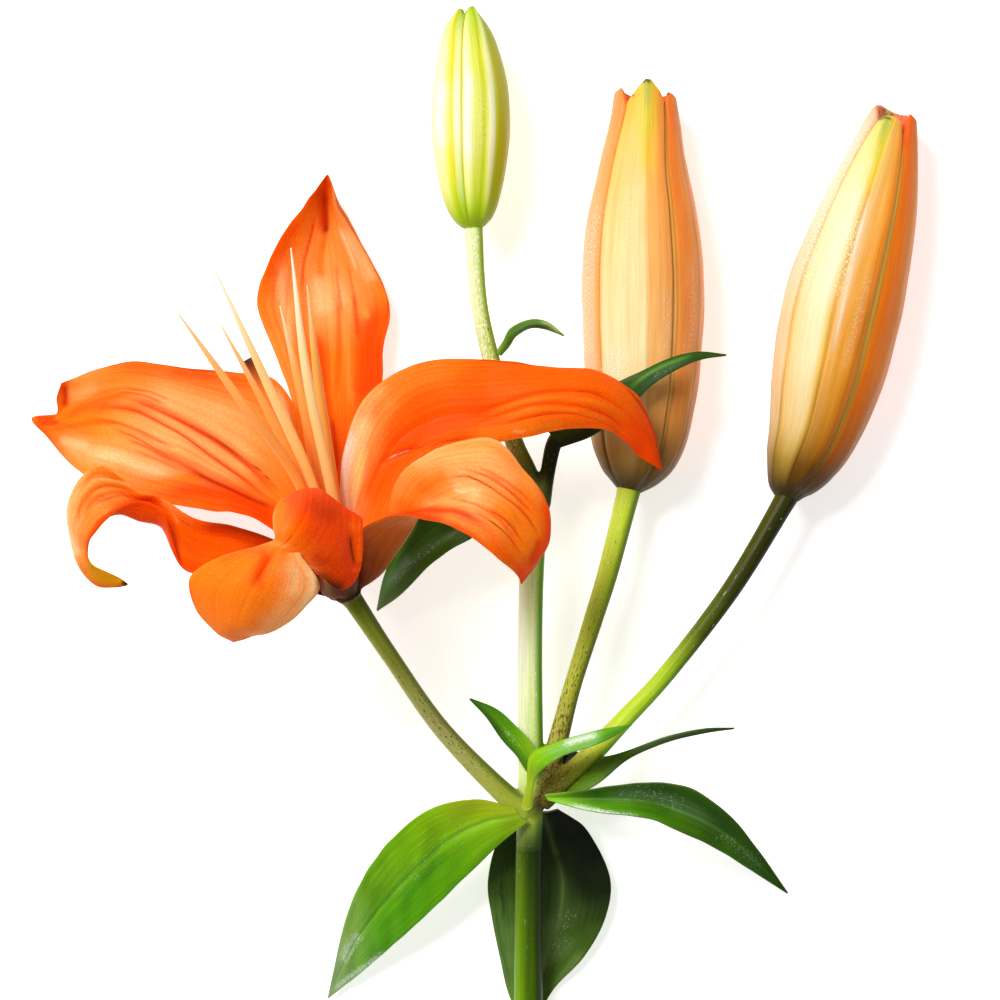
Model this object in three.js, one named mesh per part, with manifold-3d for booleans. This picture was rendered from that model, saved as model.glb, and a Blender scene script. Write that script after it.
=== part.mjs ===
// A cut stem of a two-tone asiatic lily, laid down: one open bloom, three buds, leaves and bracts.
// Units are millimetres, +Z is up, and the stem lies along Y with its cut end toward -Y.
import * as THREE from "three";
import { mergeVertices } from "three/addons/utils/BufferGeometryUtils.js";
import Module from "manifold-3d";

const wasm = await Module();
wasm.setup();

// Driving dimensions
const PETAL_THICKNESS = 1.0;
const LEAF_THICKNESS = 0.8;
const TIP_HALF_WIDTH = 0.6;
const STEM_SIDES = 10;
const BUD_SIDES = 36;

// The points below are laid out as the plant is seen from straight above, on a sheet at this height
// over the floor. The eye is one metre over the sheet, so a higher point spreads on the sheet.
const SHEET_HEIGHT = 40;
const EYE_DISTANCE = 1000;
// Middle of the plant's outline on the floor, which becomes the origin.
const MIDDLE_ACROSS = -4.5;
const MIDDLE_ALONG = -20.6;

function place([across, along, height]) {
  const shrink = 1 - (height - SHEET_HEIGHT) / EYE_DISTANCE;
  return new THREE.Vector3(across * shrink - MIDDLE_ACROSS, along * shrink - MIDDLE_ALONG, height);
}

// Smooth curves through hand-set points and values
function curvePoint(points, t) {
  const last = points.length - 1;
  const at = Math.min(Math.max(t * last, 0), last - 1e-9);
  const i = Math.floor(at);
  const f = at - i;
  const b = points[i];
  const c = points[i + 1];
  const a = i > 0 ? points[i - 1] : b.clone().multiplyScalar(2).sub(c);
  const d = i + 2 <= last ? points[i + 2] : c.clone().multiplyScalar(2).sub(b);
  const result = b.clone().multiplyScalar(2);
  result.addScaledVector(c.clone().sub(a), f);
  const bend = a.clone().multiplyScalar(2).addScaledVector(b, -5).addScaledVector(c, 4).sub(d);
  const twist = b.clone().sub(c).multiplyScalar(3).sub(a).add(d);
  result.addScaledVector(bend, f * f);
  result.addScaledVector(twist, f * f * f);
  return result.multiplyScalar(0.5);
}

function curveValue(values, t) {
  return curvePoint(values.map((value) => new THREE.Vector3(value, 0, 0)), t).x;
}

// Closed geometry from points and triangles, turned so that its faces point out
function closedGeometry(points, triangles) {
  let volume = 0;
  for (const [a, b, c] of triangles) {
    volume += points[a].dot(points[b].clone().cross(points[c]));
  }
  const ordered = volume > 0 ? triangles : triangles.map(([a, b, c]) => [a, c, b]);
  const geometry = new THREE.BufferGeometry();
  geometry.setAttribute("position", new THREE.Float32BufferAttribute(points.flatMap((p) => p.toArray()), 3));
  geometry.setIndex(ordered.flat());
  return geometry;
}

// Joining solids that grow out of each other
function toSolid(geometry) {
  const bare = geometry.clone();
  bare.deleteAttribute("normal");
  bare.deleteAttribute("uv");
  const merged = mergeVertices(bare, 1e-4);
  return new wasm.Manifold(new wasm.Mesh({
    numProp: 3,
    vertProperties: new Float32Array(merged.attributes.position.array),
    triVerts: new Uint32Array(merged.index.array),
  }));
}

function fromSolid(solid) {
  const mesh = solid.getMesh();
  const geometry = new THREE.BufferGeometry();
  geometry.setAttribute("position", new THREE.Float32BufferAttribute(mesh.vertProperties, 3));
  geometry.setIndex(Array.from(mesh.triVerts));
  return geometry;
}

function joined(geometries) {
  return fromSolid(geometries.map(toSolid).reduce((whole, piece) => whole.add(piece)));
}

// Petals and leaves: a sheet through rows of points, each row running from margin to margin.
// The last entry is the tip, one point that is given a small width, or a whole row for a torn end.
function endRow(end, before) {
  if (Array.isArray(end)) return end;
  const across = before[before.length - 1].clone().sub(before[0]).normalize();
  return before.map((_, j) => {
    const share = (2 * j) / (before.length - 1) - 1;
    return end.clone().addScaledVector(across, share * TIP_HALF_WIDTH);
  });
}

function sheetGrid(rows, stepsAlong, stepsAcross) {
  const open = rows.slice(0, -1);
  const full = [...open, endRow(rows[rows.length - 1], open[open.length - 1])];
  const grid = [];
  for (let i = 0; i <= stepsAlong; i++) {
    const station = full[0].map((_, j) => curvePoint(full.map((row) => row[j]), i / stepsAlong));
    grid.push(Array.from({ length: stepsAcross + 1 }, (_, j) => curvePoint(station, j / stepsAcross)));
  }
  return grid;
}

function sheetNormal(grid, i, j) {
  const lastRow = grid.length - 1;
  const lastColumn = grid[0].length - 1;
  const along = grid[Math.min(i + 1, lastRow)][j].clone().sub(grid[Math.max(i - 1, 0)][j]);
  const across = grid[i][Math.min(j + 1, lastColumn)].clone().sub(grid[i][Math.max(j - 1, 0)]);
  return along.cross(across).normalize();
}

function sheetGeometry(rows, thickness, stepsAlong, stepsAcross) {
  const grid = sheetGrid(rows, stepsAlong, stepsAcross);
  const width = stepsAcross + 1;
  const top = [];
  const bottom = [];
  grid.forEach((row, i) => row.forEach((point, j) => {
    const normal = sheetNormal(grid, i, j);
    top.push(point.clone().addScaledVector(normal, thickness / 2));
    bottom.push(point.clone().addScaledVector(normal, -thickness / 2));
  }));
  const under = top.length;
  const triangles = [];
  for (let i = 0; i < stepsAlong; i++) {
    for (let j = 0; j < stepsAcross; j++) {
      const a = i * width + j;
      const b = a + width;
      triangles.push([a, b, b + 1], [a, b + 1, a + 1]);
      triangles.push([under + a, under + b + 1, under + b], [under + a, under + a + 1, under + b + 1]);
    }
  }
  const rim = [];
  for (let j = 0; j < stepsAcross; j++) rim.push(j);
  for (let i = 0; i < stepsAlong; i++) rim.push(i * width + stepsAcross);
  for (let j = stepsAcross; j > 0; j--) rim.push(stepsAlong * width + j);
  for (let i = stepsAlong; i > 0; i--) rim.push(i * width);
  rim.forEach((a, k) => {
    const b = rim[(k + 1) % rim.length];
    triangles.push([a, b, under + b], [a, under + b, under + a]);
  });
  return closedGeometry([...top, ...bottom], triangles);
}

// Rings of points round a curved axis. Angle 0 is to the right of travel and 90 degrees faces up.
function ringFrame(axis, t) {
  const step = 0.01;
  const centre = curvePoint(axis, t);
  const behind = curvePoint(axis, Math.max(t - step, 0));
  const ahead = curvePoint(axis, Math.min(t + step, 1)).sub(behind).normalize();
  const right = ahead.clone().cross(new THREE.Vector3(0, 0, 1)).normalize();
  const up = right.clone().cross(ahead);
  return { centre, ahead, right, up };
}

function ringPoint({ centre, ahead, right, up }, angle, radius, lift = 0) {
  return centre.clone()
    .addScaledVector(right, Math.cos(angle) * radius)
    .addScaledVector(up, Math.sin(angle) * radius)
    .addScaledVector(ahead, lift);
}

function ringsGeometry(rings, startPoint, endPoint) {
  const sides = rings[0].length;
  const points = rings.flat();
  const start = points.push(startPoint) - 1;
  const end = points.push(endPoint) - 1;
  const triangles = [];
  for (let j = 0; j < sides; j++) {
    const next = (j + 1) % sides;
    triangles.push([start, next, j]);
    for (let i = 0; i + 1 < rings.length; i++) {
      const a = i * sides;
      const b = a + sides;
      triangles.push([a + j, a + next, b + next], [a + j, b + next, b + j]);
    }
    const top = (rings.length - 1) * sides;
    triangles.push([end, top + j, top + next]);
  }
  return closedGeometry(points, triangles);
}

// Stem: one green shoot. The main stem rises from its cut end to a whorl where three flower stalks
// leave it, and ends in a fork that carries the green bud and the highest leaf.
const STALKS = [
  {
    part: "main stem",
    points: [
      [7.2, -155, 3.55], [6.8, -120, 8.8], [7, -84, 14.2], [7.4, -67, 17], [7.2, -36, 19],
      [7.8, -14, 20], [9.6, 2, 20],
    ],
    radii: [3.75, 3.6, 3.3, 3.15, 3.05, 3.0, 2.7],
    steps: 14,
  },
  {
    part: "stalk of the bloom",
    points: [
      [6.5, -74.5, 17], [0, -69.5, 20], [-14.3, -54.6, 28], [-26.5, -37.2, 35.5], [-35.8, -23.2, 41.6],
    ],
    radii: [3.2, 2.7, 2.2, 2.1, 2.6],
    steps: 9,
  },
  {
    part: "broad end under the bloom",
    points: [[-35, -24.5, 40.9], [-35.9, -23.3, 41.5], [-36.4, -22.4, 42]],
    radii: [2.3, 3.2, 4.4],
    steps: 3,
  },
  {
    part: "stalk of the middle bud",
    points: [
      [9.5, -71, 17], [13, -61, 17], [17.3, -45, 17], [22.3, -29, 16], [26, -17, 15.4], [30.8, 2, 14.7],
    ],
    radii: [2.7, 2.6, 2.2, 2.4, 2.6, 3.0],
    steps: 9,
  },
  {
    part: "stalk of the right bud",
    points: [
      [9.5, -72.5, 17.5], [20, -63, 18.5], [29.5, -53, 18],
      [40.3, -41.3, 17.2], [55.6, -21.3, 16], [68.1, -0.5, 15],
    ],
    radii: [2.9, 2.7, 2.4, 2.2, 2.4, 3.0],
    steps: 10,
  },
  {
    part: "stalk of the green bud",
    points: [[9.5, -1, 20], [6.5, 7, 20], [3, 15, 20], [-1.7, 32, 20], [-5, 47, 20], [-6.3, 65, 20]],
    radii: [2.6, 2.4, 2.3, 2.2, 2.1, 2.5],
    steps: 9,
  },
  {
    part: "branch of the highest leaf",
    points: [[9.8, -1, 20], [11.3, 6, 20.5], [12.9, 13.4, 21.6]],
    radii: [2.5, 1.9, 2.1],
    steps: 4,
  },
];

// Bloom throat: the six petals, the six filaments and the pistil stand round one axis on the
// end of the bloom's stalk. Angles turn round it: 0 is to the right and 90 degrees faces up.
const THROAT_FOOT = place([-36.6, -21.8, 42.4]);
const THROAT_AXIS = new THREE.Vector3(-0.38, 0.82, 0.42).normalize();
const PETAL_RING = 4.4;
const PETAL_ROOT_SPAN = THREE.MathUtils.degToRad(26);

function throatPoint(angle, radius, along) {
  const right = THROAT_AXIS.clone().cross(new THREE.Vector3(0, 0, 1)).normalize();
  const up = right.clone().cross(THROAT_AXIS);
  return ringPoint({ centre: THROAT_FOOT, ahead: THROAT_AXIS, right, up }, angle, radius, along);
}

function petalRoot(degrees, turn, columns) {
  return Array.from({ length: columns }, (_, j) => {
    const share = (2 * j) / (columns - 1) - 1;
    const angle = THREE.MathUtils.degToRad(degrees) + turn * share * PETAL_ROOT_SPAN;
    return throatPoint(angle, PETAL_RING, 0.7);
  });
}

const PETALS = [
  {
    name: "petal_top",
    angle: 270,
    turn: 1,
    rows: [
      [[-42, -4.8, 32], [-37.7, -4.8, 28.5], [-33.6, -4.8, 32]],
      [[-45.6, 9.6, 23.5], [-38.9, 10.8, 18.5], [-30.7, 9.6, 24]],
      [[-49.5, 22.8, 15.5], [-40.3, 24, 10], [-28.4, 23, 16]],
      [[-53.8, 34.8, 11], [-40.8, 35.5, 4.2], [-28, 36, 10.5]],
      [[-58.3, 48, 8], [-41.8, 48, 0.6], [-26.6, 47.5, 7.6]],
      [[-53.3, 61.7, 8], [-42, 62.4, 2.5], [-33.6, 62.4, 8]],
      [[-46.6, 71.3, 10], [-41.8, 72, 6.5], [-38.5, 71.3, 10]],
      [-41.8, 78, 11],
    ],
  },
  {
    name: "petal_left",
    angle: 210,
    turn: -1,
    rows: [
      [[-41, -2, 38], [-42.5, -6, 35], [-44.5, -9, 35], [-46, -12, 37], [-48, -14, 41]],
      [[-46, 15, 34], [-49, 9, 31], [-53, 1, 31], [-53.5, -3, 34], [-54.5, -7, 40]],
      [[-53.5, 28.5, 30], [-57, 18, 28.5], [-61.5, 7, 29.5], [-62, 2, 33], [-62, -3.5, 39]],
      [[-64, 30.7, 27], [-67, 23, 26.5], [-71, 14, 28], [-71.5, 6.5, 33], [-71.5, -2.3, 38.5]],
      [[-76, 32, 24], [-78, 26.5, 25], [-80.5, 19.3, 27], [-81.5, 10, 32], [-82, -0.5, 36]],
      [[-88, 33.3, 22.5], [-89, 29, 24], [-90, 23.3, 26], [-91.5, 13.5, 30.5], [-93, 2, 33]],
      [[-97, 31.3, 23], [-97.5, 27.5, 24], [-98, 22, 25], [-99.5, 14.5, 28], [-100.8, 6.8, 29]],
      [
        [-101.5, 29.7, 24.5], [-101.7, 26.3, 24.5], [-102.2, 21.5, 24.5],
        [-104, 16.5, 26.5], [-105, 10.3, 27.5],
      ],
      [
        [-104.2, 28.2, 26.5], [-105.8, 24, 26.5], [-106, 20.8, 25],
        [-111.8, 19.2, 26.5], [-108.4, 15.4, 26.5],
      ],
    ],
  },
  {
    name: "petal_curled",
    angle: 150,
    turn: -1,
    rows: [
      [[-44, -14, 47.4], [-44.6, -16.5, 48.4], [-45.2, -19, 50.5], [-45.6, -20.8, 53], [-46, -21.6, 56]],
      [[-54.5, -9.3, 56], [-54.5, -12, 56], [-55, -15, 57], [-55.5, -18, 59.5], [-56, -20, 63]],
      [[-64, -6.2, 62], [-64, -9, 61], [-64.5, -13, 61.5], [-65, -17, 64], [-65.5, -20, 68]],
      [[-73, -4.5, 66.5], [-73, -7.5, 65], [-73, -11.5, 65], [-73, -15, 67], [-72.5, -18, 70]],
      [[-79.5, -0.5, 69.5], [-79, -3, 68], [-78.5, -7, 67], [-78, -11.5, 68], [-76.5, -15.5, 70]],
      [[-83, 0.8, 71], [-82.8, -1.5, 68.5], [-82, -5, 67], [-81, -5.8, 69.5], [-80.5, -3.5, 72.5]],
      [[-87, 1.8, 73], [-87.5, -1, 69.5], [-87, -4.2, 68], [-86.3, -4.6, 71], [-86, -0.2, 74]],
      [[-91.5, 5.8, 74], [-91.8, 1.5, 72], [-91.5, -2, 70.5], [-91, -3, 72.5], [-90.8, -1.2, 75]],
      [[-96, 8.3, 73.5], [-96.5, 4, 73], [-96.5, -0.5, 72], [-95.8, -4, 72], [-95, -4.8, 74]],
      [[-101, 5, 70], [-100.5, 1, 71], [-99.5, -3, 71], [-98.2, -6.5, 71], [-97, -7.5, 72.5]],
      [[-103.8, -2, 67], [-102.8, -4, 69], [-101.5, -6.5, 69.5], [-99.8, -9, 69.5], [-98.6, -10, 70.5]],
      [[-103.2, -9, 65], [-102.3, -10, 66.5], [-101.3, -11.3, 67], [-100, -12.5, 67], [-99.2, -13, 68]],
      [[-101, -16, 63], [-100.5, -15.8, 65], [-99.8, -15.7, 65.5], [-98.8, -15.6, 66], [-97.8, -15.6, 66.5]],
      [[-97, -20.5, 62], [-96.8, -19.3, 63.5], [-96.3, -18.5, 64], [-95.5, -17.6, 64.5], [-94.8, -17, 64.5]],
      [[-92.5, -21, 61], [-92.2, -20.3, 61.6], [-92, -19.7, 62], [-91.7, -19, 62], [-91.4, -18.6, 62]],
      [-89.4, -20.3, 60.5],
    ],
  },
  {
    name: "petal_front",
    angle: 90,
    turn: -1,
    rows: [
      [[-44.3, -16.3, 51], [-39.5, -21.6, 54], [-33.8, -16.8, 53.3]],
      [[-47.5, -7, 60], [-42, -14, 67.5], [-33.8, -10, 61]],
      [[-51, 0, 68], [-44, -1.5, 77], [-33.5, -5.5, 69.5]],
      [[-54, -2, 78], [-45.5, 2.6, 84], [-34.5, -5, 80]],
      [[-54.5, -6, 84], [-46.5, -3, 92], [-33.5, -11, 86]],
      [[-54.3, -9.5, 88], [-50, -9, 96], [-37.5, -16.3, 90]],
      [[-58, -11, 91], [-54.5, -13, 97], [-47, -13.5, 96]],
      [[-67, -13.5, 93], [-58, -18.5, 98], [-43.2, -20.5, 94]],
      [[-74.3, -18.5, 91], [-61, -24, 97], [-47, -26, 92]],
      [[-73, -26, 88], [-63, -29.5, 93], [-53, -31, 90]],
      [[-68, -31.8, 86], [-64.5, -32.5, 88], [-59.5, -33, 87]],
      [-64, -34, 85],
    ],
  },
  {
    name: "petal_lower_right",
    angle: 30,
    turn: 1,
    rows: [
      [[-29.6, -13.2, 46], [-28.4, -15, 48], [-28.5, -17, 50.5], [-31, -17.8, 51.5], [-35, -15.2, 50.5]],
      [[-27.2, -4.8, 51.5], [-25.2, -6, 54], [-23, -9, 57], [-28, -9.5, 60], [-35, -6.8, 61]],
      [[-25.6, 3, 57], [-23, 0.5, 60], [-19, -3, 63], [-21.5, -4, 67.5], [-26, -3, 70]],
      [[-21, 9, 62.5], [-18.5, 6, 66], [-13, 0.5, 69], [-14, -2.8, 73], [-15, -5.3, 76]],
      [[-12, 13.3, 66.5], [-10, 8.5, 71], [-6, 2.5, 73.5], [-7.2, -3, 76], [-8.5, -8, 78]],
      [[-1.5, 14.5, 68.5], [-0.5, 8, 73], [1, 0.5, 75], [-1, -6, 76.5], [-3.5, -11.5, 77]],
      [[6.5, 6.5, 70], [6.7, 1.5, 72.5], [5, -5, 74.5], [2.7, -10, 75], [0, -14.5, 75]],
      [[11.5, -1.5, 70], [10, -5.5, 71.5], [8, -9, 72.5], [5.5, -13, 72.5], [2.5, -16.5, 72]],
      [[12, -9, 69], [10.3, -11.4, 70], [8.3, -13.7, 70.5], [6.2, -16, 70], [4, -18, 69.5]],
      [[9, -15, 67.5], [7.9, -16, 68], [6.8, -17, 68], [5.7, -18, 68], [4.6, -19, 67.5]],
      [5.2, -20, 66],
    ],
  },
  {
    name: "petal_upper_right",
    angle: 330,
    turn: 1,
    rows: [
      [
        [-34.9, -11.5, 47], [-33.8, -11.5, 43.8], [-32.9, -12, 42.5], [-31.8, -12.5, 42.6], [-31, -13, 43.4],
      ],
      [[-38, -2, 50], [-35.5, -3, 45.8], [-33, -3.5, 43.8], [-29.8, -4.6, 43.6], [-26.8, -5.4, 44.8]],
      [[-37.5, 12, 53], [-33, 9.5, 47], [-29, 7, 44.5], [-26, 5, 44.5], [-23.5, 3.5, 45.6]],
      [[-32, 25, 52], [-27.5, 20.5, 47], [-23.5, 15, 45], [-20.5, 11.8, 45.5], [-18, 9, 46.2]],
      [[-20, 32.7, 48], [-17.5, 27.5, 46.5], [-14, 20, 46], [-12, 15.5, 47], [-11, 12.2, 47]],
      [[-4, 33.8, 45], [-3, 28.5, 46], [-1, 21.5, 47.5], [0.5, 17, 48.5], [1, 14, 47.5]],
      [[12, 32, 44], [13, 29, 46], [14, 25, 48], [15, 20.5, 48], [15, 16.8, 46]],
      [[24, 30.8, 42], [24, 28.5, 44], [24.5, 25, 45], [24.5, 21, 44.5], [24.5, 17, 43]],
      [[32.5, 25.5, 38], [31.8, 24, 40], [31, 21, 41], [30, 17, 40], [29.5, 14.5, 39]],
      [[36.8, 17, 35], [36, 16, 36], [35, 14.5, 37], [34, 12.5, 36], [33.3, 10.5, 35]],
      [38.7, 7.5, 33],
    ],
  },
];

// Stamens and pistil: six pale filaments, bare of anthers, rise from a low collar in the throat.
// The pistil, an ovary with a thick style and a three-lobed stigma, stands in the middle of them.
const COLLAR = { radius: 3.2, bottom: 0.6, top: 3.0, sides: 16 };
const FILAMENT = { footRadius: 2.35, foot: 2.4, radii: [0.8, 1.35, 1.2, 0.35], sides: 6, steps: 7 };
const FILAMENT_PATHS = [
  { angle: 150, path: [[-48.6, 4.8, 55], [-62.4, 24, 66], [-77.3, 44.9, 72]] },
  { angle: 90, path: [[-45.4, 4.8, 54], [-55.7, 27.6, 60], [-68.4, 55.2, 64]] },
  { angle: 210, path: [[-48, 4.8, 45], [-55.8, 21.6, 46.5], [-67, 42, 50]] },
  { angle: 30, path: [[-41, 4.8, 55], [-46.6, 31.2, 63], [-50.2, 60.5, 66]] },
  { angle: 270, path: [[-43.6, 4.8, 43], [-48, 26.4, 42], [-52.8, 46.6, 42]] },
  { angle: 330, path: [[-40.2, 4.8, 47.5], [-43.7, 28.8, 50], [-46.3, 51.6, 52]] },
];
const PISTIL = {
  foot: 3.4,
  path: [[-40.6, -8.4, 46.3], [-44.4, 4.8, 49], [-52.3, 19.5, 52], [-60.2, 34, 54]],
  radii: [0.55, 0.85, 1.0, 1.0, 1.7],
  sides: 6,
  steps: 10,
};

// Buds: three outer petals closed round the inner ones, whose backs show between them as narrow
// ribs. `turn` is the angle of the outer petal that faces up, and their tips are just parting.
const BUDS = [
  {
    name: "bud_green",
    turn: 75,
    axis: [
      [-6.3, 65.4, 20], [-6.5, 67.5, 20], [-6.8, 71.5, 20], [-7, 78, 20], [-7, 88, 20],
      [-7.1, 98, 20], [-7.5, 107, 20], [-8, 113, 20], [-8.1, 117.1, 20],
    ],
    radii: [2.6, 4.6, 6.5, 8.1, 9.4, 9.1, 7.4, 5.4, 2.6],
    crown: 1.2,
    hollow: 0.6,
  },
  {
    name: "bud_middle",
    turn: 92,
    axis: [
      [30.9, 2.4, 14.6], [31.7, 6, 14.3], [32.7, 11.5, 14.1], [33.6, 20, 14.1], [34.2, 34, 14.1],
      [34.3, 50, 14.1], [34.2, 66, 14.1], [34.4, 80, 14.1], [34.8, 90, 14.1], [35, 97.2, 14.1],
    ],
    radii: [3.1, 7.5, 10.8, 12.8, 14.3, 15, 13.8, 10.7, 8.7, 7.7],
    crown: 2.8,
    hollow: 3.5,
  },
  {
    name: "bud_right",
    turn: 108,
    axis: [
      [68.7, 0.5, 14.9], [69.6, 3.6, 14.4], [72, 9, 14], [75.3, 17, 13.9], [78.6, 30, 13.9],
      [82.1, 46, 13.9], [86.2, 61, 13.9], [90.2, 75, 13.9], [93.2, 87, 13.9], [94.9, 92.6, 13.9],
    ],
    radii: [3.1, 5.9, 8.8, 11.2, 13.7, 14.6, 13.1, 10.5, 7.3, 5.6],
    crown: 2.0,
    hollow: 3,
  },
];
const BUD_STEPS = 16;
const OUTER_PETALS = 3;
const BUD_LOBE = 0.03;
// A seam runs this far round from the middle of each outer petal, and is this wide to each side.
// Its depth is a share of the radius, reached over the first part of the bud's length.
const SEAM_ANGLE = THREE.MathUtils.degToRad(40);
const SEAM_DEPTH = 0.05;
const SEAM_WIDTH = THREE.MathUtils.degToRad(10);
const SEAM_START = 0.15;
// The tips part over the last part of the length, round a dished end of this share of their width.
const CROWN_START = 0.7;
const DISH_SHARE = 0.5;

function seamDepth(angle, turn) {
  const petal = (2 * Math.PI) / OUTER_PETALS;
  const offset = angle - turn;
  const fromMiddle = Math.abs(offset - petal * Math.round(offset / petal));
  return SEAM_DEPTH * Math.max(0, 1 - Math.abs(fromMiddle - SEAM_ANGLE) / SEAM_WIDTH);
}

function budGeometry({ turn, axis, radii, crown, hollow }) {
  const line = axis.map(place);
  const facing = THREE.MathUtils.degToRad(turn);
  const angles = Array.from({ length: BUD_SIDES }, (_, j) => (2 * Math.PI * j) / BUD_SIDES);
  const rings = [];
  for (let i = 0; i <= BUD_STEPS; i++) {
    const t = i / BUD_STEPS;
    const frame = ringFrame(line, t);
    const radius = curveValue(radii, t);
    const seams = Math.min(1, t / SEAM_START);
    const parting = Math.max(0, t - CROWN_START) / (1 - CROWN_START);
    rings.push(angles.map((angle) => {
      const lobe = Math.cos(OUTER_PETALS * (angle - facing));
      const swell = 1 + BUD_LOBE * lobe - seams * seamDepth(angle, facing);
      return ringPoint(frame, angle, radius * swell, crown * lobe * parting);
    }));
  }
  const frame = ringFrame(line, 1);
  const dish = radii[radii.length - 1] * DISH_SHARE;
  rings.push(angles.map((angle) => ringPoint(frame, angle, dish, -hollow)));
  const resting = rings.map((ring) => ring.map((point) => point.setZ(Math.max(point.z, 0))));
  return ringsGeometry(resting, line[0], ringPoint(frame, 0, 0, -hollow));
}

const LEAVES = [
  {
    name: "leaf_left",
    rows: [
      [[3.5, -74.2, 21.6], [5, -75, 21.8], [6.5, -76, 21.4]],
      [[-6, -71.8, 24], [-4, -77.5, 22], [-1, -83.5, 20]],
      [[-16.5, -74, 26], [-12.5, -82, 22.5], [-9.8, -92, 17.5]],
      [[-25.5, -80.8, 24], [-21.5, -90, 19.5], [-19.2, -101, 14]],
      [[-32.5, -90, 19], [-29.5, -99, 14], [-27.3, -108.3, 9]],
      [[-37.2, -101, 12], [-35.5, -107.5, 8], [-34, -114, 5]],
      [-41.3, -119.5, 2],
    ],
  },
  {
    name: "leaf_right",
    rows: [
      [[11.7, -71.2, 22.2], [12.2, -71.9, 22], [12.7, -72.6, 22.2]],
      [[22, -69.3, 25], [23, -71.7, 23.5], [23, -75, 26]],
      [[34, -67.8, 28], [35, -72.3, 25], [34.5, -76.3, 29]],
      [[45, -68.8, 29], [46, -75.8, 25], [44, -80, 28]],
      [[54.5, -75, 26], [54.5, -80.5, 22], [52.3, -84, 24]],
      [[61.5, -83.3, 20], [61.5, -87, 17.5], [60.3, -89, 19]],
      [69, -94.3, 13],
    ],
  },
  {
    name: "leaf_back",
    rows: [
      [[8, -77, 11.4], [10.5, -76.2, 11.8], [13, -75.4, 12.6]],
      [[0, -81, 8.5], [12.5, -82, 7], [20.5, -78.8, 9]],
      [[-2.9, -91, 6.5], [15, -91, 4.8], [26.3, -90, 6.5]],
      [[-2, -100, 4.8], [14.3, -100, 3.6], [25.4, -100, 5]],
      [[0, -110, 3.2], [11.5, -109.5, 2.8], [20.3, -109.5, 4]],
      [[2.2, -119, 1.8], [9, -118.5, 1.6], [12.5, -118, 2.2]],
      [7.2, -128.4, 1],
    ],
  },
  {
    name: "leaf_behind_bloom",
    rows: [
      [[3, 2, 20.5], [3.2, 0.3, 20], [3, -1.2, 20.5]],
      [[-5, 2.5, 23], [-3, -2, 22], [-1.5, -6, 22.5]],
      [[-15, -1, 25], [-10, -6.5, 22.5], [-6.5, -9, 23.5]],
      [[-23.5, -8.5, 22], [-18, -13.5, 19.5], [-15.5, -14.5, 21]],
      [[-27.8, -18, 15], [-24.5, -20, 13.5], [-23.5, -22.5, 13.5]],
      [-29.5, -26.5, 6],
    ],
  },
  {
    name: "leaf_upper",
    rows: [
      [[12.4, 15, 24.6], [13.4, 14, 24.8], [14.4, 13, 24.6]],
      [[18, 20.5, 28], [20, 18, 28], [22.5, 15.5, 29]],
      [[26, 27, 32], [28, 24.5, 32], [30.5, 21.5, 33.5]],
      [[34, 31, 33.5], [35, 29.3, 34.5], [36.5, 27.5, 35.5]],
      [[41.5, 34.3, 34.5], [42, 32.9, 35.5], [43, 31.5, 36]],
      [[48, 35.6, 35], [48, 34.7, 35.5], [48.5, 33.7, 36]],
      [54.3, 34.8, 35],
    ],
  },
  {
    name: "bract_centre",
    rows: [
      [[5.6, -73, 23], [6.5, -73.5, 23.4], [7.6, -73, 23]],
      [[6.3, -68, 25.5], [7.3, -68, 26], [8.4, -67.5, 27]],
      [[7.3, -61, 28.5], [9, -62.5, 29.5], [10.5, -64.5, 31]],
      [[13, -58.2, 29.5], [14, -59.8, 31.5], [15, -61.5, 33]],
      [[20, -56.2, 30.5], [20.5, -57.7, 32.5], [21.5, -59.3, 34]],
      [[26, -54.8, 31], [26.5, -55.7, 32.5], [27, -57, 33.5]],
      [31.5, -53.9, 32],
    ],
  },
  {
    name: "bract_left",
    rows: [
      [[9.2, -60.5, 23.4], [7.8, -63, 23.6], [6.5, -64, 23.4]],
      [[7, -57.5, 24.5], [5, -60, 25.5], [3.5, -61, 24.4]],
      [[3, -53.3, 25], [1.5, -55.5, 26.5], [0, -57, 25]],
      [[-1, -50, 25.5], [-2.5, -51, 26.5], [-3.5, -52, 25.5]],
      [-7.2, -47.7, 26],
    ],
  },
  {
    name: "bract_right",
    rows: [
      [[11.6, -68.6, 22.8], [12.2, -69.2, 23.2], [12.8, -69.6, 22.9]],
      [[16, -65, 22.6], [17, -67, 23.4], [19, -68.2, 23.4]],
      [[23.5, -62.7, 22.4], [23.8, -64.7, 22.4], [24.5, -66.6, 22.8]],
      [[31, -60, 23], [31.3, -60.9, 22.6], [31.5, -61.8, 22]],
      [[40, -56.9, 23.5], [40, -57.4, 22.9], [40.3, -58, 22.2]],
      [[49, -54.9, 23], [49, -55.4, 22.6], [49, -56, 22.2]],
      [56.2, -54.8, 22.5],
    ],
  },
  {
    name: "bract_upper",
    rows: [
      [[0.6, 37.4, 21], [1.2, 36.8, 21.4], [1.8, 36.2, 22]],
      [[1.9, 41, 21.5], [2.8, 40, 22.5], [3.4, 39.2, 24]],
      [[7, 43.2, 21.5], [7, 42.3, 23], [7, 41.2, 24.5]],
      [[11.5, 42.7, 21.5], [11, 41.8, 22.5], [10.5, 41.1, 23.5]],
      [15.4, 39.4, 21.5],
    ],
  },
];

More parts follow.
